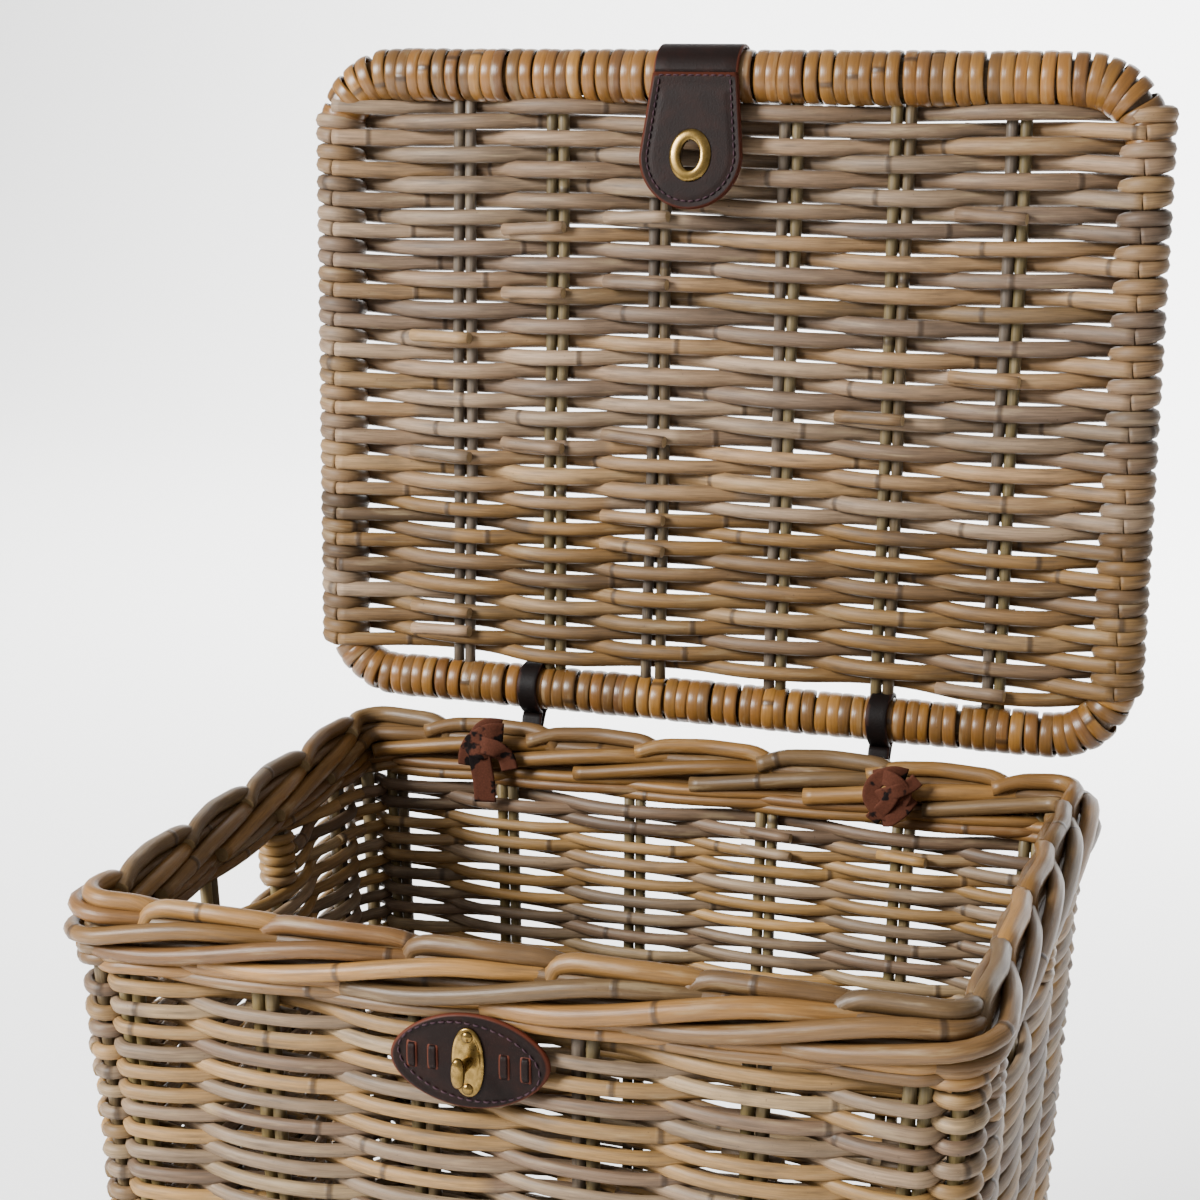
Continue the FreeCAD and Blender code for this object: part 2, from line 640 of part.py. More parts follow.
def make_flap(lid):
    start, pivot, swing = strap_pivot()
    flap = lid * at(size("strap_place"), start[1], size("lid_reach") + start[0], turn(X_AXIS, -FLAP_LEAN))
    half = size("strap_thickness") / 2
    taper = primitive("Part::Wedge", "flap_taper", at(0, -half, 0, turn(X_AXIS, -90)),
                      Ymin="sizes.flap_gap", Ymax="sizes.eyelet_drop", Zmin="0", Z2min="0",
                      Zmax="sizes.strap_thickness", Z2max="sizes.strap_thickness",
                      Xmin="-sizes.strap_width / 2", Xmax="sizes.strap_width / 2",
                      X2min="-sizes.flap_disc_radius", X2max="sizes.flap_disc_radius")
    disc = cylinder("flap_disc", "2 * sizes.flap_disc_radius", "sizes.strap_thickness",
                    at(0, half, -size("eyelet_drop"), turn(X_AXIS, 90)))
    blank = fuse("flap_blank", [taper, disc])
    tube_width = "sizes.eyelet_hole_width + 2 * sizes.eyelet_wall"
    tube_length = "sizes.eyelet_hole_length + 2 * sizes.eyelet_wall"
    deep = "4 * sizes.strap_thickness"
    eye = at(0, half + size("strap_thickness"), -size("eyelet_drop"))
    flap_hole = oval("flap_hole", tube_width, tube_length, deep, eye)
    node("strap_flap", cut("flap_pierced", blank, flap_hole), flap)
    lip = oval("eyelet_lip", "sizes.eyelet_width", "sizes.eyelet_length", "sizes.eyelet_lip",
               at(0, -half, -size("eyelet_drop")))
    tube = oval("eyelet_tube", tube_width, tube_length, "sizes.strap_thickness + sizes.washer_lip",
                at(0, half + size("washer_lip"), -size("eyelet_drop")))
    bore = oval("eyelet_bore", "sizes.eyelet_hole_width", "sizes.eyelet_hole_length", deep, eye)
    node("eyelet_ring", cut("eyelet_pierced", fuse("eyelet_blank", [lip, tube]), bore), flap)
    washer = oval("washer_blank", "sizes.washer_width", "sizes.washer_length", "sizes.washer_lip",
                  at(0, half + size("washer_lip"), -size("eyelet_drop")))
    washer_hole = oval("washer_hole", tube_width, tube_length, deep, eye)
    node("eyelet_washer", cut("washer_pierced", washer, washer_hole), flap)
    for label, (forward, outward) in (("strap_bend", pivot), ("strap_swing", start)):
        spot = lid.multVec(FreeCAD.Vector(0, outward, size("lid_reach") + forward))
        print(label, "pivot", [round(value, 4) for value in spot])
    print("strap_bend turn", round(swing, 4), "lock height", round(lock_height(), 4))


def check_and_export():
    doc.recompute()
    for thing in doc.Objects:
        if "Invalid" in thing.State or "Error" in thing.State:
            raise RuntimeError(f"{thing.Label} failed to build")
    for name, thing in nodes.items():
        if thing.Shape.isNull() or not thing.Shape.isValid():
            raise RuntimeError(f"{name} has no valid shape")
    os.makedirs("parts", exist_ok=True)
    for name, thing in nodes.items():
        thing.Shape.exportStep(f"parts/{name}.step")
        print(f"{name}: {len(thing.Shape.Solids)} solids, {thing.Shape.Volume / 1000:.1f} cm3")


make_foot_and_base()
make_stakes()
make_walls()
make_corners()
make_border()
make_thongs()
make_clasp()
make_lid_panel(make_lid_frame())
make_strap()
check_and_export()
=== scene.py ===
"""Looks of a lidded rattan laundry basket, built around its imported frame.

Lengths inside the functions are millimetres; a mesh is written in metres.
X runs to the right, Y to the hinged back, Z up, and the floor is at Z = 0.
"""
import math

import bpy
import numpy as np
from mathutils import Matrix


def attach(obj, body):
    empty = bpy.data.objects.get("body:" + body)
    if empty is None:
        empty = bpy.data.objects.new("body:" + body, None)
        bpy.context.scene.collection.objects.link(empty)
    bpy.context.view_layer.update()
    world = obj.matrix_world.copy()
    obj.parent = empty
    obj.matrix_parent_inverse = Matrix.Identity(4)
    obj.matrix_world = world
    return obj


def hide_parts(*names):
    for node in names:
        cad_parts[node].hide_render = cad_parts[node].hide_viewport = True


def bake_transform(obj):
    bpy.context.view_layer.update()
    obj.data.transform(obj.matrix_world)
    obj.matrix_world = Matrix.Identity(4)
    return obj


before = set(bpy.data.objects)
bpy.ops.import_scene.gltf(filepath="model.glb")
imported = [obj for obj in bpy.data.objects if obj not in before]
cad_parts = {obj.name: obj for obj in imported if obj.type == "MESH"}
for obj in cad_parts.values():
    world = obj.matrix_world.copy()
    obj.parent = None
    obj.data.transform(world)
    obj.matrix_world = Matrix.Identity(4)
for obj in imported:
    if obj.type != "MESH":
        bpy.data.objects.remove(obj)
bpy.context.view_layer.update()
CHANCE = np.random.default_rng(4107)

FOOT_TOP, WALL_TOP = 16.0, 482.0
BORDER_TOP_ROD = 515.0                # middle height of the border's top rods
CORNER = 14.0                         # radius of the body's corners
STATIONS = 24.0                       # stake places round the basket
CORNER_STATIONS = np.array([0.0, 7, 12, 19])
LONG_PLACES = np.array([-205.5, -187, -117, -39, 39, 117, 187, 205.5]) / 205.5
SHORT_PLACES = np.array([-154.0, -117, -39, 39, 117, 154]) / 154
ROW_PITCH = 5.35
HINGE_Y, HINGE_Z = 175.0, 535.4       # middle of the lid's back rail
LEAN = math.radians(2)                # the open lid leans back
REACH = 347.6                         # from the back rail's middle to the front rail's
LID_HALF, LID_BEND = 226.0, 34.0      # half width to the side rods' middles, and radius of the rails' bends
STRAP_X = -11.0                       # the strap and the lock are left of the middle
RAIL_TURN = 7.3                       # length of rail for one turn of cane
LID_PAIRS = np.array([-150.0, -94, -34, 38, 99, 160])
UP = np.array([0.0, 0.0, 1.0])


# ---------------------------------------------------------------- meshes

def unit(v):
    """v divided by its own length."""
    return v / np.maximum(np.linalg.norm(v, axis=-1, keepdims=True), 1e-9)


def circle(sides):
    """(cos q, sin q) at equal steps of q."""
    q = np.linspace(0, 2 * np.pi, sides, endpoint=False)
    return np.stack([np.cos(q), np.sin(q)], -1)


def smooth(values, width):
    """The running mean of a line of values over a few neighbours, its ends held."""
    held = np.pad(values, width // 2, mode="edge")
    return np.convolve(held, np.ones(width) / width, "valid")


def strip_section(width, thickness, steps=3):
    """A flat strip's section: a rectangle whose short sides are half circles."""
    q = np.linspace(-np.pi / 2, np.pi / 2, 2 * steps + 1)
    r = thickness / 2
    right = np.stack([width / 2 - r + r * np.cos(q), r * np.sin(q)], -1)
    across = np.linspace(width / 2 - r, r - width / 2, 7)[1:-1]
    top = np.stack([across, np.full(5, r)], -1)
    return np.concatenate([right, top, -right, -top])


def skin(rings, colour, closed=False):
    """Quads from ring k to ring k + 1 of every strand, and a flat cap on both ends.

    rings is (strands, rings, points, 3). The UV is (girth so far, length so far) in metres,
    with the length started at a chance value on each strand.
    """
    n, m, s = rings.shape[:3]
    index = np.arange(n * m * s).reshape(n, m, s)
    last = m if closed else m - 1
    here, ahead = index[:, :last], np.roll(index, -1, axis=1)[:, :last]
    quads = np.stack([here, ahead, np.roll(ahead, -1, 2), np.roll(here, -1, 2)], -1)
    centre = rings.mean(2)
    step = np.linalg.norm(np.diff(centre, axis=1, append=centre[:, :1]), axis=-1)
    along = np.concatenate([np.zeros((n, 1)), np.cumsum(step, 1)], 1) / 1000
    along = along + CHANCE.uniform(0, 5, (n, 1))
    girth = 2 * np.pi * np.linalg.norm(rings - centre[:, :, None], axis=-1).mean() / 1000
    around = np.linspace(0, girth, s + 1)
    low = np.broadcast_to(along[:, :last, None], here.shape)
    high = np.broadcast_to(along[:, 1:last + 1, None], here.shape)
    left, right = np.broadcast_to(around[:-1], here.shape), np.broadcast_to(around[1:], here.shape)
    uv = np.stack([left, low, left, high, right, high, right, low], -1).reshape(-1, 2)
    faces, places = [quads.reshape(-1, 4)], [uv]
    if not closed:
        caps = np.concatenate([index[:, 0], index[:, -1, ::-1]])
        faces.append(caps)
        flat = circle(s) * girth / 7
        places.append(np.broadcast_to(flat, (len(caps), s, 2)).reshape(-1, 2))
    tint = np.broadcast_to(colour[:, :, None], (n, m, s, 4)).reshape(-1, 4)
    return rings.reshape(-1, 3), faces, places, tint


def rods(path, up, section, size=1.0, colour=None, closed=False, cut=True):
    """A section carried along each path: P + size (a side + b rise).

    side is the path's direction crossed with up, and rise is side crossed with the direction.
    A cut end has one more, smaller ring whose colour's alpha is 0, where the pale core shows.
    """
    path = np.asarray(path, float)
    n, m = path.shape[:2]
    forward = np.roll(path, -1, 1) - np.roll(path, 1, 1) if closed else np.gradient(path, axis=1)
    forward = unit(forward)
    side = unit(np.cross(forward, up))
    rise = np.cross(side, forward)
    size = np.broadcast_to(size, (n, m)).copy()
    colour = np.broadcast_to(np.array([1.0, 1, 1, 1]) if colour is None else colour, (n, m, 4)).copy()
    if cut and not closed:
        order = np.r_[0, np.arange(m), m - 1]
        path, side, rise = path[:, order], side[:, order], rise[:, order]
        size, colour = size[:, order], colour[:, order]
        size[:, [0, -1]] *= 0.8
        colour[:, [0, -1], 3] = 0
    spread = section[:, 0, None] * side[:, :, None] + section[:, 1, None] * rise[:, :, None]
    return skin(path[:, :, None] + size[..., None, None] * spread, colour, closed)


def piece(name, parts, material, body, replaces=()):
    """One mesh from several parts, in metres, with its UV map and colour attribute."""
    verts, loops, starts, uv, tint = [], [], [], [], []
    base = at = 0
    for points, faces, places, colour in parts:
        for face, place in zip(faces, places):
            loops.append((face + base).ravel())
            starts.append(at + np.arange(len(face)) * face.shape[1])
            at += face.size
            uv.append(place)
        verts.append(points)
        tint.append(colour)
        base += len(points)
    verts, loops = np.concatenate(verts) / 1000, np.concatenate(loops)
    starts, uv, tint = np.concatenate(starts), np.concatenate(uv), np.concatenate(tint)
    mesh = bpy.data.meshes.new(name)
    mesh.vertices.add(len(verts))
    mesh.vertices.foreach_set("co", verts.ravel())
    mesh.loops.add(len(loops))
    mesh.loops.foreach_set("vertex_index", loops.astype(np.int32))
    mesh.polygons.add(len(starts))
    mesh.polygons.foreach_set("loop_start", starts.astype(np.int32))
    mesh.update(calc_edges=True)
    mesh.polygons.foreach_set("use_smooth", np.ones(len(starts), bool))
    mesh.uv_layers.new(name="along").data.foreach_set("uv", uv.ravel())
    mesh.attributes.new("rod_colour", "FLOAT_COLOR", "POINT").data.foreach_set("color", tint.ravel())
    mesh.validate()
    mesh.materials.append(material)
    thing = bpy.data.objects.new(name, mesh)
    bpy.context.scene.collection.objects.link(thing)
    if body:
        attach(thing, body)
    if replaces:
        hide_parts(*replaces)
    return thing


# ---------------------------------------------------------------- colours

def linear(code):
    """An sRGB hex colour as linear RGB: c / 12.92, or ((c + 0.055) / 1.055) to the power 2.4."""
    c = np.array([int(code[i:i + 2], 16) / 255 for i in (1, 3, 5)])
    return np.where(c <= 0.04045, c / 12.92, ((c + 0.055) / 1.055) ** 2.4)


def rgba(code):
    """The same with alpha 1."""
    return (*linear(code), 1.0)


LID_RODS = ["#725c46", "#68533f", "#775d40", "#7c6242", "#604e3e", "#70573b", "#6b5946", "#7d6852"]
LOW_LID_RODS = ["#62492c", "#59432a", "#694e2c", "#513d27", "#6f5533", "#5b4733"]
BODY_RODS = ["#74604a", "#685541", "#7f623c", "#86663a", "#6e5b46", "#604c3a", "#7d684b", "#72593b"]
BORDER_RODS = ["#6e4e28", "#654625", "#76552c", "#5c4326", "#6a4b24", "#5f492e"]
STAKE_RODS = ["#685836", "#5a4d2f", "#5c4f34", "#50422d", "#625337", "#564b3f"]
CANE_TURNS = ["#6d481d", "#644318", "#745022", "#5f3e16", "#67451d", "#593d1c"]


def shades(palette, *count, spread=0.14):
    """Colours drawn from a palette, each times 1 + spread times a normal chance value."""
    base = np.array([linear(code) for code in palette])
    picked = base[CHANCE.integers(len(base), size=count)]
    picked = np.clip(picked * (1 + spread * CHANCE.standard_normal((*count, 1))), 0.01, 1)
    return np.concatenate([picked, np.ones((*count, 1))], -1)


def spliced(palette, rows, u, span):
    """Row colours that change where one rod ends and the next starts, at chance places in the span."""
    joins = np.sort(CHANCE.uniform(u.min(), u.max(), (rows, max(1, round((u.max() - u.min()) / span)))), 1)
    rod = (u[None, :, None] > joins[:, None]).sum(-1)
    table = shades(palette, rows, joins.shape[1] + 1)
    return np.take_along_axis(table, rod[..., None], 1), joins


def wander(rows, u, size, waves=(0.35, 0.8, 1.7)):
    """A slow drift: the sum over waves w of size sin(w u + chance) / number of waves."""
    phase = CHANCE.uniform(0, 2 * np.pi, (rows, 1, len(waves)))
    rate = np.array(waves) * CHANCE.uniform(0.8, 1.2, (rows, 1, len(waves)))
    return size * np.sin(rate * u[None, :, None] + phase).mean(-1) * 1.6


# ---------------------------------------------------------------- materials

def add(tree, kind, inputs=None, **settings):
    """A node with its settings; an input is a number, a colour, or the socket that feeds it."""
    node = tree.nodes.new(kind)
    for key, value in settings.items():
        setattr(node, key, value)
    for key, value in (inputs or {}).items():
        if isinstance(value, bpy.types.NodeSocket):
            tree.links.new(value, node.inputs[key])
        else:
            node.inputs[key].default_value = value
    return node


def finish(name, **surface):
    """A material with its Principled shader, and uniform values set on the shader's own sockets."""
    material = bpy.data.materials.new(name)
    material.use_nodes = True
    tree = material.node_tree
    shader = tree.nodes["Principled BSDF"]
    for key, value in surface.items():
        shader.inputs[key.replace("_", " ")].default_value = value
    return material, tree, shader


def rattan(name, roughness, coat, grain, dirt):
    """Peeled rattan: long fibres, dark rings at the nodes, grey weathering and a pale pithy cut end.

    Fibres are 0.5 mm wide and some 20 mm long, drawn 0.8 mm wide so that they show. Nodes are
    some 170 mm apart.
    """
    material, tree, shader = finish(name, Roughness=roughness, Coat_Weight=coat, Coat_Roughness=0.35,
                                    IOR=1.5, Specular_IOR_Level=0.26)
    rod = add(tree, "ShaderNodeAttribute", attribute_name="rod_colour")
    uv = add(tree, "ShaderNodeUVMap", uv_map="along").outputs[0]
    place = add(tree, "ShaderNodeTexCoord").outputs["Object"]
    fibre = add(tree, "ShaderNodeMapping", {0: uv, "Scale": (1250, 50, 1)}).outputs[0]
    streak = add(tree, "ShaderNodeTexNoise", {"Vector": fibre, "Scale": 1.0, "Detail": 5.0,
                                              "Roughness": 0.65}).outputs[0]
    bands = add(tree, "ShaderNodeMapping", {0: uv, "Scale": (160, 22, 1)}).outputs[0]
    patch = add(tree, "ShaderNodeTexNoise", {"Vector": bands, "Scale": 1.0, "Detail": 4.0,
                                             "Roughness": 0.6}).outputs[0]
    speck = add(tree, "ShaderNodeTexNoise", {"Vector": place, "Scale": 420.0, "Detail": 4.0,
                                             "Roughness": 0.7}).outputs[0]
    length = add(tree, "ShaderNodeSeparateXYZ", {0: uv}).outputs[1]
    turns = add(tree, "ShaderNodeMath", {0: length, 1: 5.9}, operation="MULTIPLY").outputs[0]
    part = add(tree, "ShaderNodeMath", {0: turns}, operation="FRACT").outputs[0]
    away = add(tree, "ShaderNodeMath", {0: part, 1: 0.5}, operation="SUBTRACT").outputs[0]
    away = add(tree, "ShaderNodeMath", {0: away}, operation="ABSOLUTE").outputs[0]
    ring = add(tree, "ShaderNodeMapRange", {0: away, 1: 0.004, 2: 0.013, 3: 1.0, 4: 0.0}).outputs[0]
    bright = add(tree, "ShaderNodeMapRange", {0: streak, 1: 0.3, 2: 0.7, 3: 1 - grain,
                                              4: 1 + grain}).outputs[0]
    fibred = add(tree, "ShaderNodeVectorMath", {0: rod.outputs["Color"], "Scale": bright},
                 operation="SCALE").outputs[0]
    worn = add(tree, "ShaderNodeMapRange", {0: patch, 1: 0.52, 2: 0.72, 3: 0.0, 4: dirt}).outputs[0]
    greyed = add(tree, "ShaderNodeMix", {"Factor": worn, 6: fibred, 7: rgba("#3a3027")},
                 data_type="RGBA").outputs[2]
    pale = add(tree, "ShaderNodeMapRange", {0: patch, 1: 0.30, 2: 0.44, 3: 0.35, 4: 0.0}).outputs[0]
    lit = add(tree, "ShaderNodeMix", {"Factor": pale, 6: greyed, 7: rgba("#9a8767")},
              data_type="RGBA").outputs[2]
    spots = add(tree, "ShaderNodeMapRange", {0: speck, 1: 0.66, 2: 0.74, 3: 0.0, 4: 0.6}).outputs[0]
    spotted = add(tree, "ShaderNodeMix", {"Factor": spots, 6: lit, 7: rgba("#20170f")},
                  data_type="RGBA").outputs[2]
    joint = add(tree, "ShaderNodeMath", {0: ring, 1: 0.72}, operation="MULTIPLY").outputs[0]
    ringed = add(tree, "ShaderNodeMix", {"Factor": joint, 6: spotted, 7: rgba("#2a1f16")},
                 data_type="RGBA").outputs[2]
    pith = add(tree, "ShaderNodeMix", {"Factor": speck, 6: rgba("#6b5233"), 7: rgba("#a8916a")},
               data_type="RGBA").outputs[2]
    colour = add(tree, "ShaderNodeMix", {"Factor": rod.outputs["Alpha"], 6: pith, 7: ringed},
                 data_type="RGBA").outputs[2]
    tree.links.new(colour, shader.inputs["Base Color"])
    raised = add(tree, "ShaderNodeMath", {0: ring, 1: 1.6, 2: streak}, operation="MULTIPLY_ADD").outputs[0]
    bump = add(tree, "ShaderNodeBump", {"Height": raised, "Strength": 0.55, "Distance": 0.0003})
    tree.links.new(bump.outputs[0], shader.inputs["Normal"])
    return material


def leather(name, face, edge, roughness, pebble, scuff):
    """Cowhide: a fine pebbled grain some 1 mm across, dull scuffs, and a raw cut edge where alpha is 0."""
    material, tree, shader = finish(name, Roughness=roughness, Specular_IOR_Level=0.08)
    place = add(tree, "ShaderNodeTexCoord").outputs["Object"]
    mark = add(tree, "ShaderNodeAttribute", attribute_name="rod_colour").outputs["Alpha"]
    grain = add(tree, "ShaderNodeTexVoronoi", {"Vector": place, "Scale": 1000 / pebble}).outputs[0]
    cloud = add(tree, "ShaderNodeTexNoise", {"Vector": place, "Scale": 95.0, "Detail": 6.0,
                                             "Roughness": 0.65}).outputs[0]
    rubbed = add(tree, "ShaderNodeMapRange", {0: cloud, 1: 0.45, 2: 0.75, 3: 0.0, 4: scuff}).outputs[0]
    tone = add(tree, "ShaderNodeMix", {"Factor": rubbed, 6: rgba(face), 7: rgba(edge)},
               data_type="RGBA").outputs[2]
    colour = add(tree, "ShaderNodeMix", {"Factor": mark, 6: rgba(edge), 7: tone},
                 data_type="RGBA").outputs[2]
    tree.links.new(colour, shader.inputs["Base Color"])
    mixed = add(tree, "ShaderNodeMath", {0: cloud, 1: 1.5, 2: grain}, operation="MULTIPLY_ADD").outputs[0]
    bump = add(tree, "ShaderNodeBump", {"Height": mixed, "Strength": 0.22, "Distance": 0.0003})
    tree.links.new(bump.outputs[0], shader.inputs["Normal"])
    return material


def suede(name, black, red):
    """Split hide: a dull fibrous nap, red-brown with black faces where the dyed side shows.

    The patches are some 12 mm across and the nap 0.6 mm.
    """
    material, tree, shader = finish(name, Roughness=0.9, Specular_IOR_Level=0.1)
    place = add(tree, "ShaderNodeTexCoord").outputs["Object"]
    cloud = add(tree, "ShaderNodeTexNoise", {"Vector": place, "Scale": 85.0, "Detail": 3.0}).outputs[0]
    nap = add(tree, "ShaderNodeTexNoise", {"Vector": place, "Scale": 900.0, "Detail": 5.0,
                                           "Roughness": 0.8}).outputs[0]
    dyed = add(tree, "ShaderNodeMapRange", {0: cloud, 1: 0.45, 2: 0.49, 3: 0.0, 4: 1.0}).outputs[0]
    tone = add(tree, "ShaderNodeMapRange", {0: nap, 1: 0.25, 2: 0.75, 3: 0.6, 4: 1.25}).outputs[0]
    base = add(tree, "ShaderNodeMix", {"Factor": dyed, 6: rgba(black), 7: rgba(red)},
               data_type="RGBA").outputs[2]
    colour = add(tree, "ShaderNodeVectorMath", {0: base, "Scale": tone}, operation="SCALE").outputs[0]
    tree.links.new(colour, shader.inputs["Base Color"])
    bump = add(tree, "ShaderNodeBump", {"Height": nap, "Strength": 0.6, "Distance": 0.0005})
    tree.links.new(bump.outputs[0], shader.inputs["Normal"])
    return material


def metal(name, bright, dark, roughness):
    """Antique brass: stamped, darkened in its hollows and rubbed bright in soft patches 5 mm across."""
    material, tree, shader = finish(name, Metallic=1.0)
    place = add(tree, "ShaderNodeTexCoord").outputs["Object"]
    cloud = add(tree, "ShaderNodeTexNoise", {"Vector": place, "Scale": 210.0, "Detail": 6.0,
                                             "Roughness": 0.6}).outputs[0]
    tarnish = add(tree, "ShaderNodeMapRange", {0: cloud, 1: 0.34, 2: 0.7, 3: 0.0, 4: 1.0}).outputs[0]
    colour = add(tree, "ShaderNodeMix", {"Factor": tarnish, 6: rgba(bright), 7: rgba(dark)},
                 data_type="RGBA").outputs[2]
    tree.links.new(colour, shader.inputs["Base Color"])
    rough = add(tree, "ShaderNodeMapRange", {0: cloud, 1: 0.3, 2: 0.7, 3: roughness - 0.08,
                                             4: roughness + 0.15}).outputs[0]
    tree.links.new(rough, shader.inputs["Roughness"])
    return material


BODY_RATTAN = rattan("weathered peeled rattan", 0.5, 0.0, 0.34, 0.6)
LID_RATTAN = rattan("grey weathered rattan", 0.55, 0.0, 0.36, 0.7)
BORDER_RATTAN = rattan("honey rattan with a worn satin skin", 0.42, 0.05, 0.28, 0.45)
SKIN_RATTAN = rattan("olive rattan with its skin on", 0.45, 0.0, 0.3, 0.5)
CANE = rattan("glossy flat binding cane", 0.32, 0.2, 0.2, 0.3)
STRAP_LEATHER = leather("dark brown bridle leather", "#140c0a", "#4a2418", 0.5, 0.9, 0.1)
LACE_LEATHER = leather("black leather hinge lace", "#0e0a09", "#2a1812", 0.5, 0.8, 0.1)
SUEDE = suede("red-brown suede lace", "#110b0a", "#48281c")
BRASS = metal("antique brass", "#8c7140", "#50401f", 0.24)
THREAD = leather("waxed linen thread", "#33242a", "#4a3338", 0.6, 0.5, 0.4)


# ---------------------------------------------------------------- basket body

def wall(u, z, out):
    """A point of the leaning walls: u counts the 24 stations round from the front left corner.

    Each side is straight, t = station place x (L + pi r / 4 - r), and then turns by a = s / r on the
    corner's circle, where s is how far t is past the straight part. out is measured outwards.
    """
    u, z, out = np.broadcast_arrays(np.mod(u, STATIONS), z, out)
    side = np.searchsorted(CORNER_STATIONS[1:], u, side="right")
    share = (z - FOOT_TOP) / (WALL_TOP - FOOT_TOP)
    half_x, half_y = 190 + 18.5 * share, 142 + 15 * share
    longer = side % 2 == 0
    half = np.where(longer, half_x, half_y) - CORNER
    deep = np.where(longer, half_y, half_x) - CORNER
    local = u - CORNER_STATIONS[side]
    part = np.where(longer, np.interp(local, np.arange(8), LONG_PLACES),
                    np.interp(local, np.arange(6), SHORT_PLACES))
    t = part * (half + CORNER * np.pi / 4)
    turned = np.sign(t) * np.maximum(np.abs(t) - half, 0) / CORNER
    x = np.clip(t, -half, half) + (CORNER + out) * np.sin(turned)
    y = -(deep + (CORNER + out) * np.cos(turned))
    cos, sin = np.array([1, 0, -1, 0])[side], np.array([0, 1, 0, -1])[side]
    return np.stack([x * cos - y * sin, x * sin + y * cos, z], -1)


def even(w):
    """Station number at w, which runs evenly by length round the basket from 0 to 1."""
    u = np.linspace(0, STATIONS, 1201)
    gaps = np.linalg.norm(np.diff(wall(u, WALL_TOP, 3.5), axis=0), axis=-1)
    length = np.concatenate([[0], np.cumsum(gaps)])
    return np.interp(np.mod(w, 1), length / length[-1], u)


def woven(rows, first_row, start, end, palette):
    """Plain weave, before one pair and behind the next: out = A g cos(pi (u + row)), g = 1.3 - 0.3 cos^2.

    Rows are 5.35 mm apart, so the rods that show at one pair are 10.7 mm apart.
    """
    u = np.linspace(start, end, round((end - start) * 9) + 1)
    row = first_row + np.arange(rows)[:, None]
    swing = np.cos(np.pi * (u[None] + row))
    out = swing * (1.3 - 0.3 * swing ** 2) * (6.3 + wander(rows, u, 0.5))
    level = 19.6 + ROW_PITCH * row
    drift = 1.3 * np.sin(u[None] * 0.9 + level * 0.004) * np.sin(np.pi * (level - 16) / 470)
    z = level + drift + wander(rows, u, 0.5, (0.9, 2.1)) + CHANCE.normal(0, 0.22, (rows, 1))
    colour, joins = spliced(palette, rows, u, 11)
    size = (3.15 + CHANCE.normal(0, 0.14, (rows, 1))) * (1 + wander(rows, u, 0.035))
    main = rods(wall(u[None], z, out), UP, circle(8) * np.array([0.96, 1.16]), size, colour)
    # A new rod starts beside the old one's end, behind a pair inside the basket.
    spot = np.round(joins[:, :1])
    inside = (np.cos(np.pi * (spot + row)) < 0)
    spot = np.where(inside, spot, spot + 1)
    run = spot + np.linspace(-0.22, 0.16, 5)[None]
    depth = -6.3 - np.linspace(6.2, 0.4, 5)[None]
    heights = np.broadcast_to(level + 1.5, run.shape)
    ends = rods(wall(run, heights, depth), UP, circle(8), 2.9, shades(palette, rows, 1))
    return [main, ends]


def body_weave():
    """86 rows round the basket in two pieces. The top 5 rows stop at the posts beside each hand hole."""
    half_rows, low_rows, rows = 41, 81, 86
    lower = ["front_weave", "back_weave", "right_weave_lower", "left_weave_lower",
             "front_left_corner_weave", "front_right_corner_weave"]
    upper = ["back_left_corner_weave", "back_right_corner_weave", "right_weave_front", "right_weave_back",
             "left_weave_front", "left_weave_back"]
    piece("lower_wall_weave", woven(half_rows, 0, 0, STATIONS, BODY_RODS), BODY_RATTAN,
          "basket", lower)
    parts = woven(low_rows - half_rows, half_rows, 0, STATIONS, BODY_RODS)
    parts += woven(rows - low_rows, low_rows, 10.1, 20.9, BODY_RODS)
    parts += woven(rows - low_rows, low_rows, 23.1, 31.9, BODY_RODS)
    piece("upper_wall_weave", parts, BODY_RATTAN, "basket", upper)


def stakes():
    """Pairs of rods 6.8 mm apart through the weave, and one thicker rod in each corner."""
    steps = np.linspace(17, 500, 14)
    singles = CORNER_STATIONS
    pairs = np.setdiff1d(np.arange(STATIONS), singles)
    lefts = wall(pairs[:, None], steps[None], wander(len(pairs), steps / 60, 0.4))
    beside = unit(wall(pairs[:, None] + 0.01, steps[None], 0) - wall(pairs[:, None], steps[None], 0))
    both = np.concatenate([lefts - 3.4 * beside, lefts + 3.4 * beside])
    tint = shades(STAKE_RODS, len(both), 1)
    outward = unit(np.cross(beside[:, :1], UP))
    parts = [rods(both, np.concatenate([outward, outward]), circle(10), 3.25, tint)]
    corner = wall(singles[:, None], steps[None], 0)
    away = unit(corner[:, :1] * np.array([1, 1, 0]))
    parts.append(rods(corner, away, circle(10), 4.0, shades(STAKE_RODS, 4, 1)))
    piece("wall_stakes", parts, SKIN_RATTAN, "basket",
          ["front_stakes", "back_stakes", "left_stakes", "right_stakes", "left_handle_stakes",
           "right_handle_stakes", "corner_stakes"])


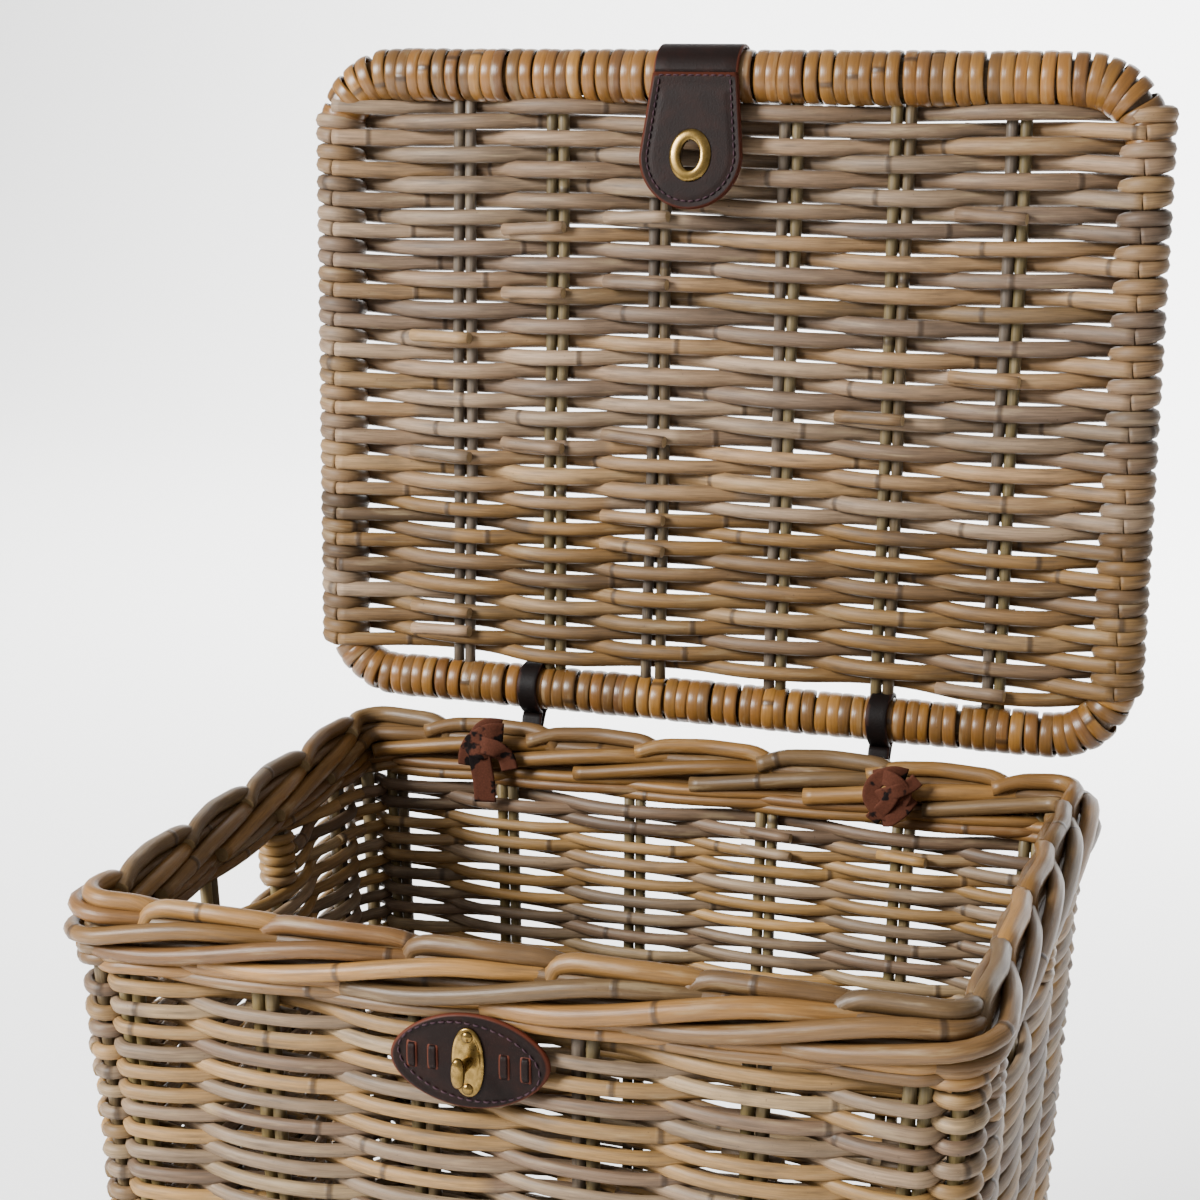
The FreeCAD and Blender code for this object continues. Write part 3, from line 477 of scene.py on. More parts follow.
def posts():
    """Each post beside a hand hole: a weaver coiled 5 times round its pair of stakes."""
    stations = np.array([8.0, 10, 21, 23])
    turn = np.linspace(0, 5, 5 * 18 + 1)
    z = 450.5 + 29.0 * turn[None] / 5 + np.zeros((4, 1))
    q = 2 * np.pi * turn[None] + CHANCE.uniform(0, 6, (4, 1))
    middle = wall(stations[:, None], z, 0)
    beside = unit(wall(stations[:, None] + 0.01, z, 0) - middle)
    outward = np.cross(beside, UP)
    path = middle + 9.2 * np.cos(q)[..., None] * beside + 6.8 * np.sin(q)[..., None] * outward
    tint = spliced(BODY_RODS, 4, turn, 2)[0]
    piece("hand_hole_posts", [rods(path, UP, circle(8), 3.1, tint)], BORDER_RATTAN,
          "basket", ["left_handle_wraps", "right_handle_wraps"])


def wale():
    """Two bands of three rods twined under the border: out = 1.2 + 6.4 cos(2 pi (u - k) / 3)."""
    u = np.linspace(0, STATIONS, 24 * 8 + 1)
    k = np.arange(6)[:, None]
    q = 2 * np.pi * (u[None] - k) / 3
    z = 484.6 + 5.4 * (k // 3) + 1.6 * np.sin(q)
    path = wall(u[None], z, 1.2 + 6.4 * np.cos(q))
    tint = spliced(BORDER_RODS, 6, u, 9)[0]
    piece("twined_wale", [rods(path, UP, circle(8), 3.5, tint)], BORDER_RATTAN,
          "basket", ["top_wale"])


def round_rim(w, r, z):
    """A border point: w in turns by length, r outwards from the border's middle, z below its top rod."""
    flat = wall(even(w), WALL_TOP, 3.5 + r)
    flat[..., 2] = BORDER_TOP_ROD + z
    return flat


def border():
    """A plaited border of 22 stakes, each with two rods.

    A long rod comes from outside below, climbs the outer face over two pitches, dives under the top
    rods and runs on along the inner face. A thick elbow rod rises beside its stake, bends over and
    lies on top for a pitch, its end tucked under the next elbow.
    """
    count = 22
    start = (np.arange(count) + CHANCE.uniform(-0.06, 0.06, count))[:, None]
    s = np.linspace(0, 4.2, 51)
    knots = np.array([0, 0.5, 1, 1.5, 1.9, 2.2, 2.5, 2.8, 3.2, 3.8, 4.2])
    r = smooth(np.interp(s, knots, [1, 7.5, 9, 9, 7, 3, -3, -8, -10.3, -10.6, -11.2]), 5)
    z = smooth(np.interp(s, knots, [-25, -23, -17.5, -10.5, -6.5, -8, -9.5, -9, -11, -17, -21]), 5)
    long_path = round_rim((start + s[None]) / count, r + wander(count, s, 0.5), z + wander(count, s, 0.7))
    sizes = 4.2 + CHANCE.normal(0, 0.3, (count, 1))
    parts = [rods(long_path, UP, circle(10), sizes, shades(BORDER_RODS, count, 1))]
    e = np.linspace(0, 1, 26)
    places = np.array([0, 0.1, 0.2, 0.32, 0.6, 0.86, 1])
    along = np.interp(e, places, [0, 0.01, 0.05, 0.18, 0.6, 0.98, 1.2])
    r = smooth(np.interp(e, places, [-2, -2, -3.4, -2.4, -1, -4, -8]), 3)
    z = smooth(np.interp(e, places, [-20, -10, -4, -0.8, -0.2, -1.2, -6]), 3)
    elbow = round_rim((start + 0.45 + along[None]) / count, r + wander(count, e * 4, 0.6), z - 0.3)
    thick = 4.75 + CHANCE.normal(0, 0.22, (count, 1)) - 0.5 * e[None] ** 3
    parts.append(rods(elbow, unit(elbow[:, :1] * np.array([1, 1, 0])), circle(10), thick,
                      shades(BORDER_RODS, count, 1)))
    # Two core rods run round inside the plait.
    w = np.linspace(0, 1, 241)[None, :-1]
    core = round_rim(w, np.array([[-1.0], [-2.5]]), np.array([[-17.5], [-9.5]]))
    parts.append(rods(core, UP, circle(8), 4.6, shades(BORDER_RODS, 2, 1), closed=True))
    piece("plaited_border", parts, BORDER_RATTAN, "basket",
          ["front_border", "back_border", "left_border", "right_border", "border_corners"])


def foot():
    """A rope of three rods round the foot: offset 5.4 (cos q, 0.6 sin q), one twist in 66 mm."""
    w = np.linspace(0, 1, 321)[:-1]
    k = np.arange(3)[:, None]
    q = 2 * np.pi * (w[None] * 20 + k / 3)
    path = wall(even(w)[None], FOOT_TOP, 0.8 + 5.4 * np.cos(q))
    path[..., 2] = 8 + 3.3 * np.sin(q)
    rope = rods(path, UP, circle(8), 4.5, shades(BORDER_RODS, 3, 1), closed=True)
    piece("foot_rope", [rope], BORDER_RATTAN, "basket", ["foot_border"])
    x = np.linspace(-182, 182, 85)
    rows = 61
    y = np.linspace(-131, 131, rows)[:, None]
    level = 4.5 + 2.15 * np.cos(np.pi * (x[None] / 52 + np.arange(rows)[:, None]))
    path = np.stack(np.broadcast_arrays(x, y, level), -1)
    weave = rods(path, UP, circle(7), 2.15, spliced(BODY_RODS, rows, x, 200)[0])
    sticks = np.arange(-3, 4)[:, None] * 52.0
    run = np.linspace(-140, 140, 5)
    lines = np.stack(np.broadcast_arrays(sticks, run, 4.5), -1)
    bars = rods(lines, UP, circle(8), 2.3, shades(STAKE_RODS, 7, 1))
    piece("base_weave_rods", [weave, bars], BODY_RATTAN, "basket",
          ["base_weave", "base_sticks"])


# ---------------------------------------------------------------- lid

def lid_point(x, out, reach):
    """Lid frame to basket frame: out of the lid's back face, reach from the hinge, leant back 2 degrees."""
    x, out, reach = np.broadcast_arrays(x, out, reach)
    y = HINGE_Y + out * math.cos(LEAN) + reach * math.sin(LEAN)
    z = HINGE_Z - out * math.sin(LEAN) + reach * math.cos(LEAN)
    return np.stack([x, y, z], -1).astype(float)


def lid_way(out, reach):
    """The same turn for a direction."""
    return lid_point(0.0, out, reach) - lid_point(0.0, 0.0, 0.0)


def lid_rows():
    """Heights of the lid's rows: 7.4 mm apart near the hinge, widening to 8.7 mm."""
    steps = np.interp(np.arange(38), [0, 12, 20, 37], [7.5, 7.6, 8.5, 8.7])
    reach = 21 + np.concatenate([[0], np.cumsum(steps)])
    return reach[reach < 331]


def lid_weave():
    """Weavers over and under six pairs, round each side rod and back as the next row.

    Depth is A cos(pi v), where v counts the pairs from the left side rod, shifted by one for each row.
    At a side rod the weaver turns 540 degrees on a circle of 11 mm while it climbs to the next row.
    """
    reach = lid_rows()
    rows = len(reach)
    row = np.arange(rows)[:, None]
    knots = np.concatenate([[-LID_HALF], LID_PAIRS, [LID_HALF]])
    x = np.linspace(-LID_HALF, LID_HALF, 97)
    v = np.interp(x, knots, np.arange(8))
    swing = np.cos(np.pi * (v[None] + row))
    depth = -swing * (1.25 - 0.25 * swing ** 2) * 7.0
    near_end = np.clip((np.abs(x) - 190) / 36, 0, 1)
    depth = depth * (1 + 0.55 * near_end)
    together = 1.2 * np.sin(x[None] * 0.021 + reach[:, None] * 0.011)
    across = reach[:, None] + (together + wander(rows, x / 60, 0.4)) * (1 - near_end)
    size = (4.0 + CHANCE.normal(0, 0.2, (rows, 1))) * (1 + wander(rows, x / 50, 0.04))
    tint, joins = spliced(LID_RODS, rows, x, 430)
    low = spliced(LOW_LID_RODS, rows, x, 430)[0]
    tint = np.where((reach < 110)[:, None, None] & (CHANCE.random((rows, 1, 1)) < 0.75), low, tint)
    away = lid_way(0.0, 1.0)
    parts = [rods(lid_point(x[None], depth, across), away, circle(8) * np.array([0.94, 1.1]), size, tint,
                  cut=False)]
    # Wraps: left ones follow even rows, right ones odd rows.
    for sign, first in ((-1, 0), (1, 1)):
        lower = reach[first:-1:2]
        upper = reach[first + 1::2]
        count = len(upper)
        q = np.linspace(0, 3 * np.pi, 55)
        climb = np.interp(q, [0, 2 * np.pi, 3 * np.pi], [0, 1, 1.12])
        height = lower[:, None] + (upper - lower)[:, None] * climb[None]
        ring = 10.9
        px = sign * (LID_HALF + ring * np.sin(q))[None] + np.zeros((count, 1))
        py = -ring * np.cos(q)[None] + np.zeros((count, 1))
        end = 0 if sign < 0 else -1
        # The row's end colour darkened to 80%: painted shade on the wrap where it turns round the side rod.
        wrap_tint_painted_shade = tint[first:-1:2, end][:, None] * np.array([0.8, 0.79, 0.78, 1])
        parts.append(rods(lid_point(px, py, height), away, circle(8) * np.array([0.92, 1.12]), 3.9, wrap_tint_painted_shade,
                          cut=False))
    # Cut ends that stand out beside a pair, where one rod stops and the next begins.
    pair = np.round(np.interp(joins[:, :1], knots, np.arange(8)))
    pair = np.clip(pair, 1, 6).astype(int)
    front = np.where(np.cos(np.pi * (pair + row)) > 0, -1.0, 1.0)
    run = np.linspace(-30, 8, 6)[None] + knots[pair]
    ease = np.linspace(0.3, 1, 6)[None]
    lift = CHANCE.uniform(-3, 4, (rows, 1))
    stub = lid_point(run, front * (4 + 9.5 * ease), reach[:, None] + 1.2 + lift * ease)
    parts.append(rods(stub, away, circle(8), 3.4, shades(LID_RODS, rows, 1)))
    piece("lid_panel_weave", parts, LID_RATTAN, "lid", ["lid_weave", "lid_side_wraps"])


def lid_stakes():
    """Six pairs of olive rods from rail to rail."""
    reach = np.linspace(4, REACH - 4, 16)
    places = np.concatenate([LID_PAIRS - 3.5, LID_PAIRS + 3.5])[:, None]
    path = lid_point(places + wander(12, reach / 60, 0.7), wander(12, reach / 50, 0.4), reach[None])
    rod = rods(path, lid_way(1.0, 0.0), circle(10), 3.25, shades(STAKE_RODS, 12, 1))
    piece("lid_stake_pairs", [rod], SKIN_RATTAN, "lid", ["lid_stakes"])


def lid_frame_rods():
    """The lid's rim: two halves of one thick rod, each round two corners of radius 34."""
    q = np.linspace(0, np.pi / 2, 12)
    bend = LID_BEND
    right_up = np.stack([LID_HALF - bend + bend * np.cos(q), REACH - bend + bend * np.sin(q)], -1)
    side = np.array([[LID_HALF, bend], [LID_HALF, REACH / 2], [LID_HALF, REACH - bend - 2]])
    right_low = np.stack([LID_HALF - bend + bend * np.sin(q), bend - bend * np.cos(q)], -1)
    half = np.concatenate([[[0, 0], [100, 0]], right_low, side, right_up, [[100, REACH], [0, REACH]]])
    both = np.stack([half, half * np.array([-1, 1])])
    size = np.interp(both[..., 1], [0, bend, REACH - bend, REACH], [9.0, 7.6, 7.6, 10.5])
    path = lid_point(both[..., 0], 0.0, both[..., 1])
    rim = rods(path, lid_way(1.0, 0.0), circle(12), size, shades(BORDER_RODS, 2, 1), cut=False)
    piece("lid_rim_rods", [rim], BORDER_RATTAN, "lid",
          ["lid_front_bends", "lid_back_bends", "lid_side_rods", "lid_front_rail", "lid_back_rail"])


def rail_line(reach, inward):
    """A rail's middle line: up one bend of radius 34, straight across, and down the other bend."""
    bend = LID_BEND
    q = np.linspace(np.pi, np.pi / 2, 40)
    left = np.stack([bend - LID_HALF + bend * np.cos(q), reach + inward * bend * (1 - np.sin(q))], -1)
    straight = np.stack([np.linspace(-191, 191, 200), np.full(200, reach)], -1)
    return np.concatenate([left, straight, left[::-1] * np.array([-1, 1])])


def bound_rail(name, reach, inward, radius, end_radius, node):
    """Flat cane wound on a rail, one turn each 7.3 mm: C(l) + r (cos q out + sin q n), q = 2 pi l / 7.3.

    C is the rail's line by length l, n is its normal in the lid's plane, and r narrows on the bends.
    """
    line = rail_line(reach, inward)
    far = np.concatenate([[0], np.cumsum(np.linalg.norm(np.diff(line, axis=0), axis=-1))])
    turns = round(far[-1] / RAIL_TURN)
    steps = 22
    q = np.linspace(0, 2 * np.pi * turns, turns * steps + 1)
    slack = 1.1 * np.sin(q * 0.171) + 0.6 * np.sin(q * 0.53)
    place = np.clip(far[-1] * q / q[-1] + slack + 1.2 * np.sin(q), 0, far[-1])
    cx, cz = np.interp(place, far, line[:, 0]), np.interp(place, far, line[:, 1])
    tx = np.interp(place + 2, far, line[:, 0]) - np.interp(place - 2, far, line[:, 0])
    tz = np.interp(place + 2, far, line[:, 1]) - np.interp(place - 2, far, line[:, 1])
    run = np.hypot(tx, tz)
    tx, tz = tx / run, tz / run
    edge = np.clip(np.minimum(place, far[-1] - place) / 62, 0, 1)
    r = end_radius + (radius - end_radius) * np.sin(edge * np.pi / 2) - 1.15
    r = r + 0.16 * np.sin(q * 0.37) + 0.12 * np.sin(q * 0.13)
    path = lid_point(cx - r * np.sin(q) * tz, r * np.cos(q), cz + r * np.sin(q) * tx)[None]
    along = (lid_point(tx, 0.0, tz) - lid_point(0.0, 0.0, 0.0))[None]
    tint = np.repeat(shades(CANE_TURNS, 1, turns, spread=0.1), steps, axis=1)
    tint = np.concatenate([tint, tint[:, -1:]], 1)
    section = circle(10) * np.array([0.85, 3.75])
    coil = rods(path, along, section, 1.0, tint)
    piece(name, [coil], CANE, "lid", [node])


# ---------------------------------------------------------------- leather and brass

def dish(centre, outline, profile, colour=None):
    """An outline grown by each profile step: centre + scale x outline, moved out along -Y by depth.

    profile rows are (scale, depth, alpha). The first and last rings are closed by flat caps.
    """
    profile = np.asarray(profile, float)
    ring = np.stack([outline[:, 0], np.zeros(len(outline)), -outline[:, 1]], -1)
    rings = profile[:, 0, None, None] * ring[None] - profile[:, 1, None, None] * np.array([0, 1.0, 0])
    tint = np.ones((1, len(profile), 4))
    tint[0, :, 3] = profile[:, 2]
    return skin((rings + centre)[None], tint)


def moved(part, turn):
    """A part with its points sent through a function of (x, y, z)."""
    return (turn(part[0]), *part[1:])


def flap_place(points):
    """Flap frame, with x across, y out of its back and z along, to basket frame: turned 10.5 degrees."""
    a = math.radians(-10.5)
    x, y, z = points[..., 0], points[..., 1], points[..., 2]
    return np.stack([x + STRAP_X, 170.7094 + y * math.cos(a) - z * math.sin(a),
                     885.5363 + y * math.sin(a) + z * math.cos(a)], -1)


def flap_edge(q, inset=0.0):
    """Distance from the eye to the flap's edge at angle q from +x towards +z.

    Below it is the disc's radius; above, the nearer of the tapering side and the square top.
    """
    disc = 28.5 - inset
    c, s = np.cos(q), np.sin(q)
    slope = (28.5 - 23.5) / 44
    side = (28.5 - inset) / np.maximum(np.abs(c) + slope * np.maximum(s, 0), 1e-6)
    top = (44 - inset * 0.4) / np.maximum(s, 1e-6)
    return np.where(s > 0, np.minimum(side, top), disc)


def strap():
    """The strap: a tail on the lid's outer face, a bend over the front rail, and a round flap in front."""
    lid_part = strap_path()
    section = strip_section(47, 2.5)
    mark = np.ones((1, lid_part.shape[1], 4))
    body = rods(lid_part, np.array([1.0, 0, 0]), section[:, ::-1] * np.array([1, -1]), 1.0, mark, cut=False)
    band = piece("strap_over_rail", [edge_marked(body, 22.3, STRAP_X)], STRAP_LEATHER, None)
    tuple(lid_point(STRAP_X, -7.0, REACH) / 1000)
    tuple(lid_point(STRAP_X, -14.5, REACH) / 1000)
    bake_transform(band)
    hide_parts("strap_anchor", "strap_bend")
    q = np.linspace(0, 2 * np.pi, 241)[:-1]
    edge = flap_edge(q)
    hole = 1 / np.sqrt((np.cos(q) / 6.9) ** 2 + (np.sin(q) / 9.4) ** 2)
    face = np.linspace(0, 1, 12) ** 0.8
    lip = np.linspace(-np.pi / 2, np.pi / 2, 7)[1:-1]
    reach = np.concatenate([face, np.ones(5), face[::-1]])
    extra = np.concatenate([np.zeros(12), 0.9 * (np.cos(lip) - 1), np.zeros(12)])
    crease = 0.45 * np.exp(-((face - 0.8) / 0.06) ** 2)
    depth = np.concatenate([-1.25 + crease, 1.25 * np.sin(lip), np.full(12, 1.25)])
    radial = hole[None] + reach[:, None] * (edge - hole)[None] + extra[:, None]
    grid = np.stack([radial * np.cos(q), np.broadcast_to(depth[:, None], radial.shape),
                     radial * np.sin(q) - 44], -1)
    tint = np.ones((1, len(reach), 4))
    tint[0, 11:18, 3] = 0
    leaf = skin(flap_place(grid)[None][:, :, ::-1], tint, closed=True)
    piece("strap_flap_leather", [leaf], STRAP_LEATHER, "strap_flap", ["strap_flap"])
    line = np.linspace(0, 2 * np.pi, 2001)
    d = flap_edge(line, 4.2)
    px, pz = d * np.cos(line), d * np.sin(line) - 44
    seam = moved(stitches(px, pz, -1.35), flap_place)
    piece("flap_stitching", [seam], THREAD, "strap_flap")


def strap_path():
    """The strap's middle line in the lid frame: the tail, then round the rail from 97 to -82.5 degrees."""
    top = math.radians(97)
    run = np.linspace(46, 3, 8)
    tail_out = 16.25 * math.sin(top) - run * math.sin(math.radians(7))
    tail_reach = REACH + 16.25 * math.cos(top) - run * math.cos(math.radians(7))
    q = np.radians(np.linspace(97, -82.5, 28))
    radius = np.interp(-q, np.radians([-97, 40, 52, 82.5]), [16.25, 16.25, 16.65, 16.65])
    out = np.concatenate([tail_out, radius * np.sin(q)])
    reach = np.concatenate([tail_reach, REACH + radius * np.cos(q)])
    return lid_point(STRAP_X, out, reach)[None]


def edge_marked(part, half, middle):
    """The same part, with alpha 0 on points further than half from the middle in x."""
    points, faces, places, tint = part
    tint = tint.copy()
    tint[:, 3] = np.where(np.abs(points[:, 0] - middle) > half, 0, 1)
    return points, faces, places, tint


def stitches(px, pz, level, pitch=4.1, length=3.0):
    """Thread stitches on a closed line: short rods 3 mm long, one each 4.1 mm, that dip at both ends."""
    gap = np.hypot(np.diff(px), np.diff(pz))
    far = np.concatenate([[0], np.cumsum(gap)])
    count = int(far[-1] // pitch)
    start = np.arange(count)[:, None] * far[-1] / count
    step = start + np.linspace(0, length, 5)[None]
    x, z = np.interp(step, far, px), np.interp(step, far, pz)
    rise = np.array([0.5, -0.25, -0.4, -0.25, 0.5])[None] + np.zeros((count, 1))
    path = np.stack([x, level + rise, z], -1)
    return rods(path, np.array([0, 1.0, 0]), circle(6), 0.42, cut=False)


def oval(half_width, half_height, count=48, power=1.0):
    """(w |cos|^p, h |sin|^p) with their signs: an ellipse at p = 1."""
    c = circle(count)
    return np.sign(c) * np.abs(c) ** power * np.array([half_width, half_height])


def eyelet():
    """A brass eyelet: a domed oval lip, a short tube through the flap, and a washer behind it."""
    q = np.linspace(0, 2 * np.pi, 65)[:-1]
    section = np.array([[-0.2, 0], [-0.2, 2.2], [0.0, 2.9], [0.8, 3.35], [2.2, 3.5], [4.2, 3.1], [5.7, 2.2],
                        [5.95, 1.4], [5.6, 1.25], [1.6, 1.25], [1.4, -1.25], [4.6, -1.35], [4.9, -1.7],
                        [4.4, -2.05], [1.2, -2.05], [0.1, -1.9]])
    section[:, 1] = np.where(section[:, 1] > 1.3, 1.25 + (section[:, 1] - 1.25) * 0.62, section[:, 1])
    width, height = 5.75 + section[:, 0], 8.25 + section[:, 0]
    rings = np.stack([np.cos(q)[:, None] * width, np.broadcast_to(-section[:, 1], (64, len(section))),
                      np.sin(q)[:, None] * height - 44], -1)
    part = skin(flap_place(rings)[None], np.ones((1, 64, 4)), closed=True)
    piece("brass_eyelet", [part], BRASS, "strap_flap", ["eyelet_ring", "eyelet_washer"])


def tilted(outline):
    """A lemon: z shrinks by 12% of (x / 38) squared, and the right end hangs 4 degrees lower."""
    x, z = outline[:, 0], outline[:, 1] * (1 - 0.12 * (outline[:, 0] / 38) ** 2)
    a = math.radians(-4)
    return np.stack([x * math.cos(a) - z * math.sin(a), x * math.sin(a) + z * math.cos(a)], -1)


def clasp():
    """The clasp: a stitched lemon-shaped leather patch, laced to the wall, with a brass turnlock."""
    lock_x, lock_z, wall_y = STRAP_X, 465.41, -167.0
    spot = np.array([lock_x, wall_y, lock_z])
    lemon = tilted(oval(38, 22.4, 96))
    rounded = [(0.02, 0.2, 1), (0.95, 0.2, 1), (0.985, 0.5, 0), (1.0, 1.3, 0), (1.0, 2.3, 0), (0.985, 3.1, 0),
               (0.95, 3.5, 1), (0.9, 3.45, 1), (0.86, 3.2, 1), (0.82, 3.45, 1), (0.5, 3.6, 1), (0.02, 3.6, 1)]
    patch = dish(spot, lemon, rounded)
    piece("clasp_patch_leather", [patch], STRAP_LEATHER, "basket", ["clasp_patch"])
    line = np.linspace(0, 2 * np.pi, 1201)
    px, pz = tilted(np.stack([33.6 * np.cos(line), 18.2 * np.sin(line)], -1)).T
    seam = moved(stitches(px, pz, 0), lambda p: p + np.array([lock_x, wall_y - 3.5, lock_z]))
    piece("patch_stitching", [seam], THREAD, "basket")
    lace_x = np.array([-27.0, -17, 17, 27])[:, None]
    run = np.linspace(-5.5, 5.5, 9)[None]
    bow = 1.3 * (1 - (run / 5.5) ** 4)
    path = np.stack(np.broadcast_arrays(lock_x + lace_x, wall_y - 3.1 - bow, lock_z + run), -1)
    laces = rods(path, np.array([0, -1.0, 0]), strip_section(3.6, 1.4), 1.0)
    raw = np.ones((1, 9, 4)) * np.array([1, 1, 1, 0])
    longer = (path - [0, 0, lock_z]) * [1, 1, 1.25] + [0, 0.75, lock_z]
    slots = rods(longer, np.array([0, -1.0, 0]), strip_section(5.2, 1.3), 1.0, raw)
    piece("patch_laces", [laces, slots], STRAP_LEATHER, "basket", ["patch_lacing"])
    plate_spot = spot + np.array([0, -3.6, 0])
    domed = [(0.03, -0.3, 1), (0.93, -0.3, 1), (1.0, 0.1, 1), (1.0, 0.8, 1), (0.95, 1.2, 1), (0.82, 1.45, 1),
             (0.78, 1.3, 1), (0.72, 1.35, 1), (0.3, 1.6, 1), (0.03, 1.6, 1)]
    parts = [dish(plate_spot, oval(7.7, 16.5, 48, 0.92), domed)]
    for sign in (-1, 1):
        head = [(0.03, 1.2, 1), (1.0, 1.2, 1), (1.0, 1.6, 1), (0.85, 2.3, 1), (0.5, 2.85, 1), (0.03, 3.0, 1)]
        parts.append(dish(plate_spot + np.array([0, 0, sign * 12.4]), oval(2.75, 2.75, 20), head))
    piece("turnlock_base", parts, BRASS, "basket", ["turnlock_plate", "turnlock_rivets"])
    neck = [(0.03, 0.7, 1), (1.0, 0.7, 1), (1.0, 12, 1), (0.95, 15, 1), (0.03, 15.2, 1)]
    wing = [(0.04, 14.5, 1), (0.7, 14.5, 1), (0.93, 14.9, 1), (1.0, 15.8, 1), (0.97, 16.8, 1),
            (0.8, 17.6, 1), (0.5, 17.95, 1), (0.04, 18.05, 1)]
    knob = [dish(spot, oval(2.4, 2.4, 24), neck), dish(spot, oval(3.2, 7.25, 40, 0.85), wing)]
    piece("turnlock_wing", knob, BRASS, "knob", ["turnlock_knob"])


def thongs():
    """Hinge laces: a black band round the back rail, down between the border's rods, and a suede knot."""
    for side, x, knot_x in (("left", -106.0, -121.0), ("right", 99.0, 112.0)):
        q = np.radians(np.linspace(-84, 252, 48))
        ring = np.stack([HINGE_Y + 14.35 * np.cos(q), HINGE_Z + 14.35 * np.sin(q)], -1)
        start = np.array([[168, 506], [171, 512], [174, 517.5]])
        end = np.array([[168.5, 518.5], [167, 512], [165, 506]])
        yz = np.concatenate([start, ring, end])
        path = np.stack([x + 0.5 * np.sin(np.arange(len(yz)) * 0.3), yz[:, 0], yz[:, 1]], -1)[None]
        band = rods(path, np.array([1.0, 0, 0]), strip_section(12, 2.0)[:, ::-1] * np.array([1, -1]), 1.0,
                    cut=False)
        piece(f"{side}_hinge_lace", [edge_marked(band, 5.3, x)], LACE_LEATHER, "basket",
              [f"hinge_thong_{side}"])
        piece(f"{side}_lace_knot", knot(side, knot_x), SUEDE, "basket", [f"hinge_knot_{side}"])


def knot(side, x):
    """A suede knot on the border's inner face: flat strips through a few points, with smooth bends.

    The left one has a long tail that hangs down and a short one beside it; the right one is a bundle.
    """
    if side == "left":
        strips = [([(6, 0, 517), (-1, -4.5, 519), (-6, -7.5, 513), (-5, -7, 500), (-3, -5.5, 486),
                    (-3, -4.5, 473)], 13),
                  ([(8, -1, 516), (0, -6.5, 517), (-9, -8, 511), (-13, -6, 503), (-14, -4.5, 495)], 11),
                  ([(-9, -3, 509), (-2, -9.5, 510), (6, -8, 508), (10, -4, 503), (12, -3, 494)], 10),
                  ([(3, -3, 505), (-4, -9, 505), (-10, -8.5, 507), (-11, -3, 510)], 8)]
    else:
        strips = [([(-8, 0, 512), (-4, -7, 515), (4, -9, 513), (9, -6, 506), (5, -7, 499), (-3, -8, 498)], 9),
                  ([(9, -1, 514), (1, -6, 517), (-8, -7, 512), (-11, -7, 503), (-6, -8, 496), (3, -7, 493)], 9),
                  ([(-10, -2, 500), (-3, -9.5, 505), (5, -10, 508), (12, -5, 511), (15, -3, 514)], 8),
                  ([(2, -3, 513), (3, -10, 506), (-1, -11, 499), (-7, -6, 492), (-10, -3, 488)], 8),
                  ([(12, -2, 503), (8, -8, 497), (1, -9, 491), (-4, -4, 489)], 8)]
    parts = []
    for points, width in strips:
        points = np.array(points, float) + np.array([x, 143.5, 0])
        t = np.linspace(0, len(points) - 1, 26)
        line = np.stack([smooth(np.interp(t, np.arange(len(points)), row), 5) for row in points.T], -1)
        parts.append(rods(line[None], np.array([0.15, -1.0, 0.1]), strip_section(width, 2.0), 1.0))
    return parts


def strap_ties():
    """Two lace ends that tie the strap's tail to the lid."""
    run = np.linspace(0, 1, 7)[None]
    x = STRAP_X + np.array([-14.0, 14])[:, None] + 0 * run
    reach = REACH - 40 + 14 * run + 0 * x
    out = 16.25 - (REACH - reach) * 0.122 + 1.4 + 1.2 * (1 - (2 * run - 1) ** 4)
    part = rods(lid_point(x, out, reach), lid_way(1.0, 0.0), strip_section(4, 1.3), 1.0)
    piece("strap_tie_laces", [part], LACE_LEATHER, "lid", ["strap_ties"])


# ---------------------------------------------------------------- stage

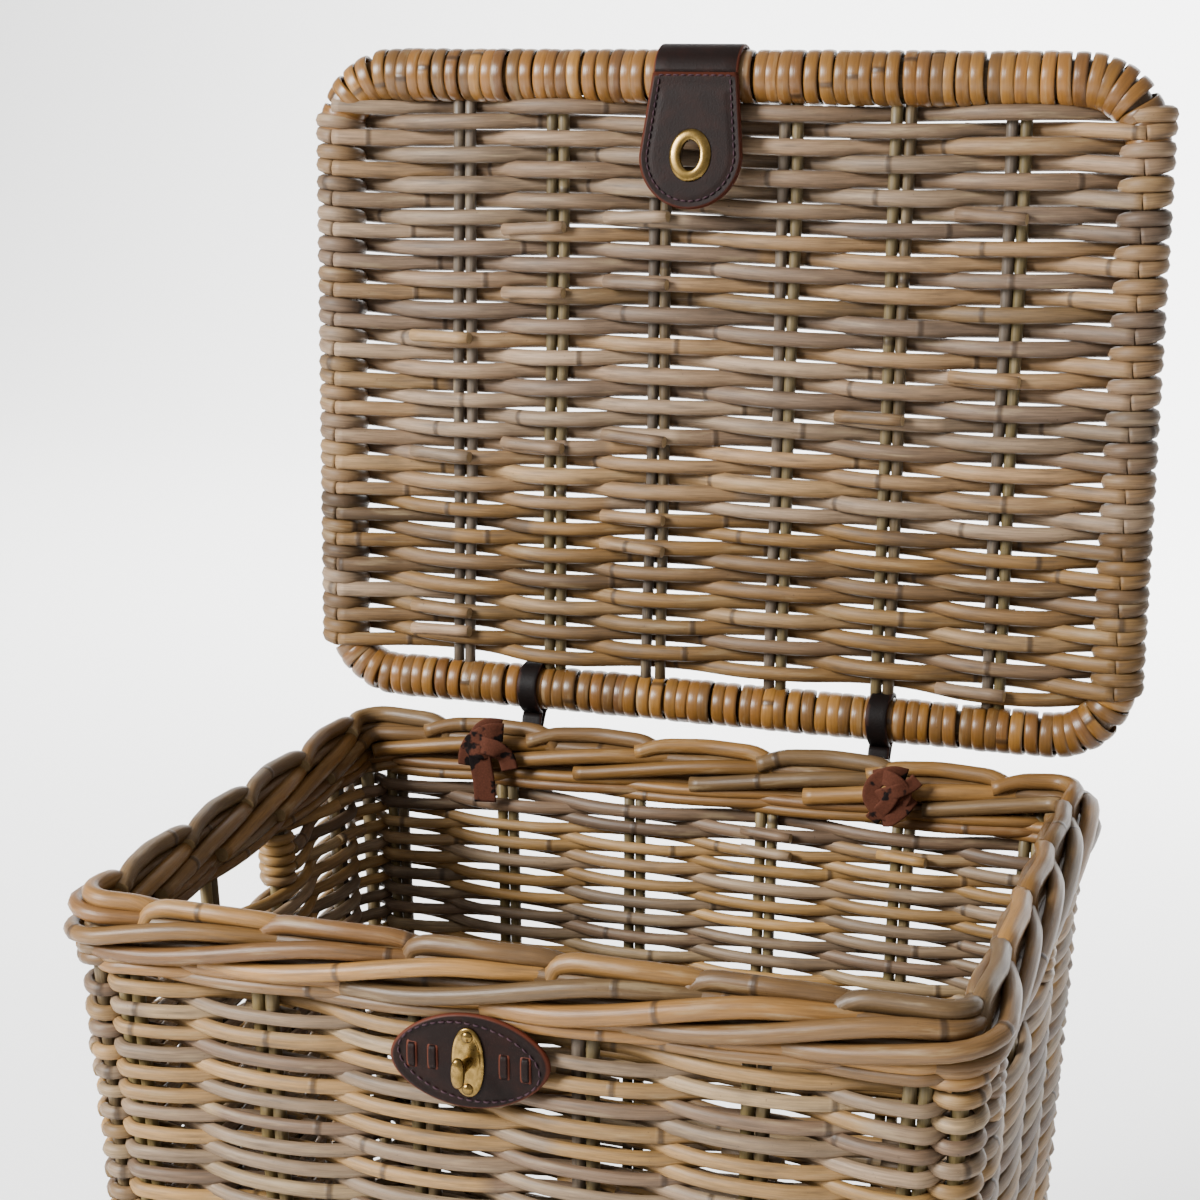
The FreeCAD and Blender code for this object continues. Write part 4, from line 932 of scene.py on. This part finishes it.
def stage():
    """A pale floor that sweeps up behind, a soft white sky, a large key lamp and one for the sweep."""
    q = np.linspace(0, np.pi / 2, 17)
    y = np.concatenate([[-6000], 3500 + 2000 * np.sin(q), [5500]])
    z = np.concatenate([[0], 2000 * (1 - np.cos(q)), [6000]]) - 0.4
    x = np.array([-7000.0, 7000])
    grid = np.stack(np.broadcast_arrays(x[:, None], y, z), -1).reshape(-1, 3)
    k = np.arange(18)
    faces = np.stack([k, k + 19, k + 20, k + 1], -1)
    part = (grid, [faces], [np.zeros((72, 2))], np.ones((38, 4)))
    ground = finish("pale matt floor", Roughness=0.95, Base_Color=(0.97, 0.97, 0.965, 1))[0]
    floor = piece("floor", [part], ground, None)
    world = bpy.data.worlds.new("studio")
    world.use_nodes = True
    world.node_tree.nodes["Background"].inputs[0].default_value = (1, 1, 1, 1)
    world.node_tree.nodes["Background"].inputs[1].default_value = 0.6
    bpy.context.scene.world = world
    for name, spot, turn, size, power in (("key", (-2.0, -1.9, 2.0), (55, 0, -46), 1.1, 315),
                                          ("backdrop", (0.0, 2.6, 3.0), (46, 0, 0), 3.0, 620)):
        lamp = bpy.data.lights.new(name, "AREA")
        lamp.energy, lamp.size = power, size
        thing = bpy.data.objects.new(name, lamp)
        thing.location = spot
        thing.rotation_euler = [math.radians(a) for a in turn]
        bpy.context.scene.collection.objects.link(thing)
    lens = bpy.data.cameras.new("camera")
    lens.lens, lens.sensor_width = 70.1, 36
    camera = bpy.data.objects.new("camera", lens)
    camera.location = (0.349, -1.055, 0.911)
    camera.rotation_euler = (math.radians(90 - 13.87), 0, math.radians(18.656))
    bpy.context.scene.collection.objects.link(camera)
    bpy.context.scene.camera = camera


body_weave()
stakes()
posts()
wale()
border()
foot()
lid_weave()
lid_stakes()
lid_frame_rods()
bound_rail("front_rail_cane", REACH, -1, 15.0, 12.0, "front_rail_binding")
bound_rail("back_rail_cane", 0.0, 1, 13.0, 11.0, "back_rail_binding")
strap()
eyelet()
clasp()
thongs()
strap_ties()
stage()
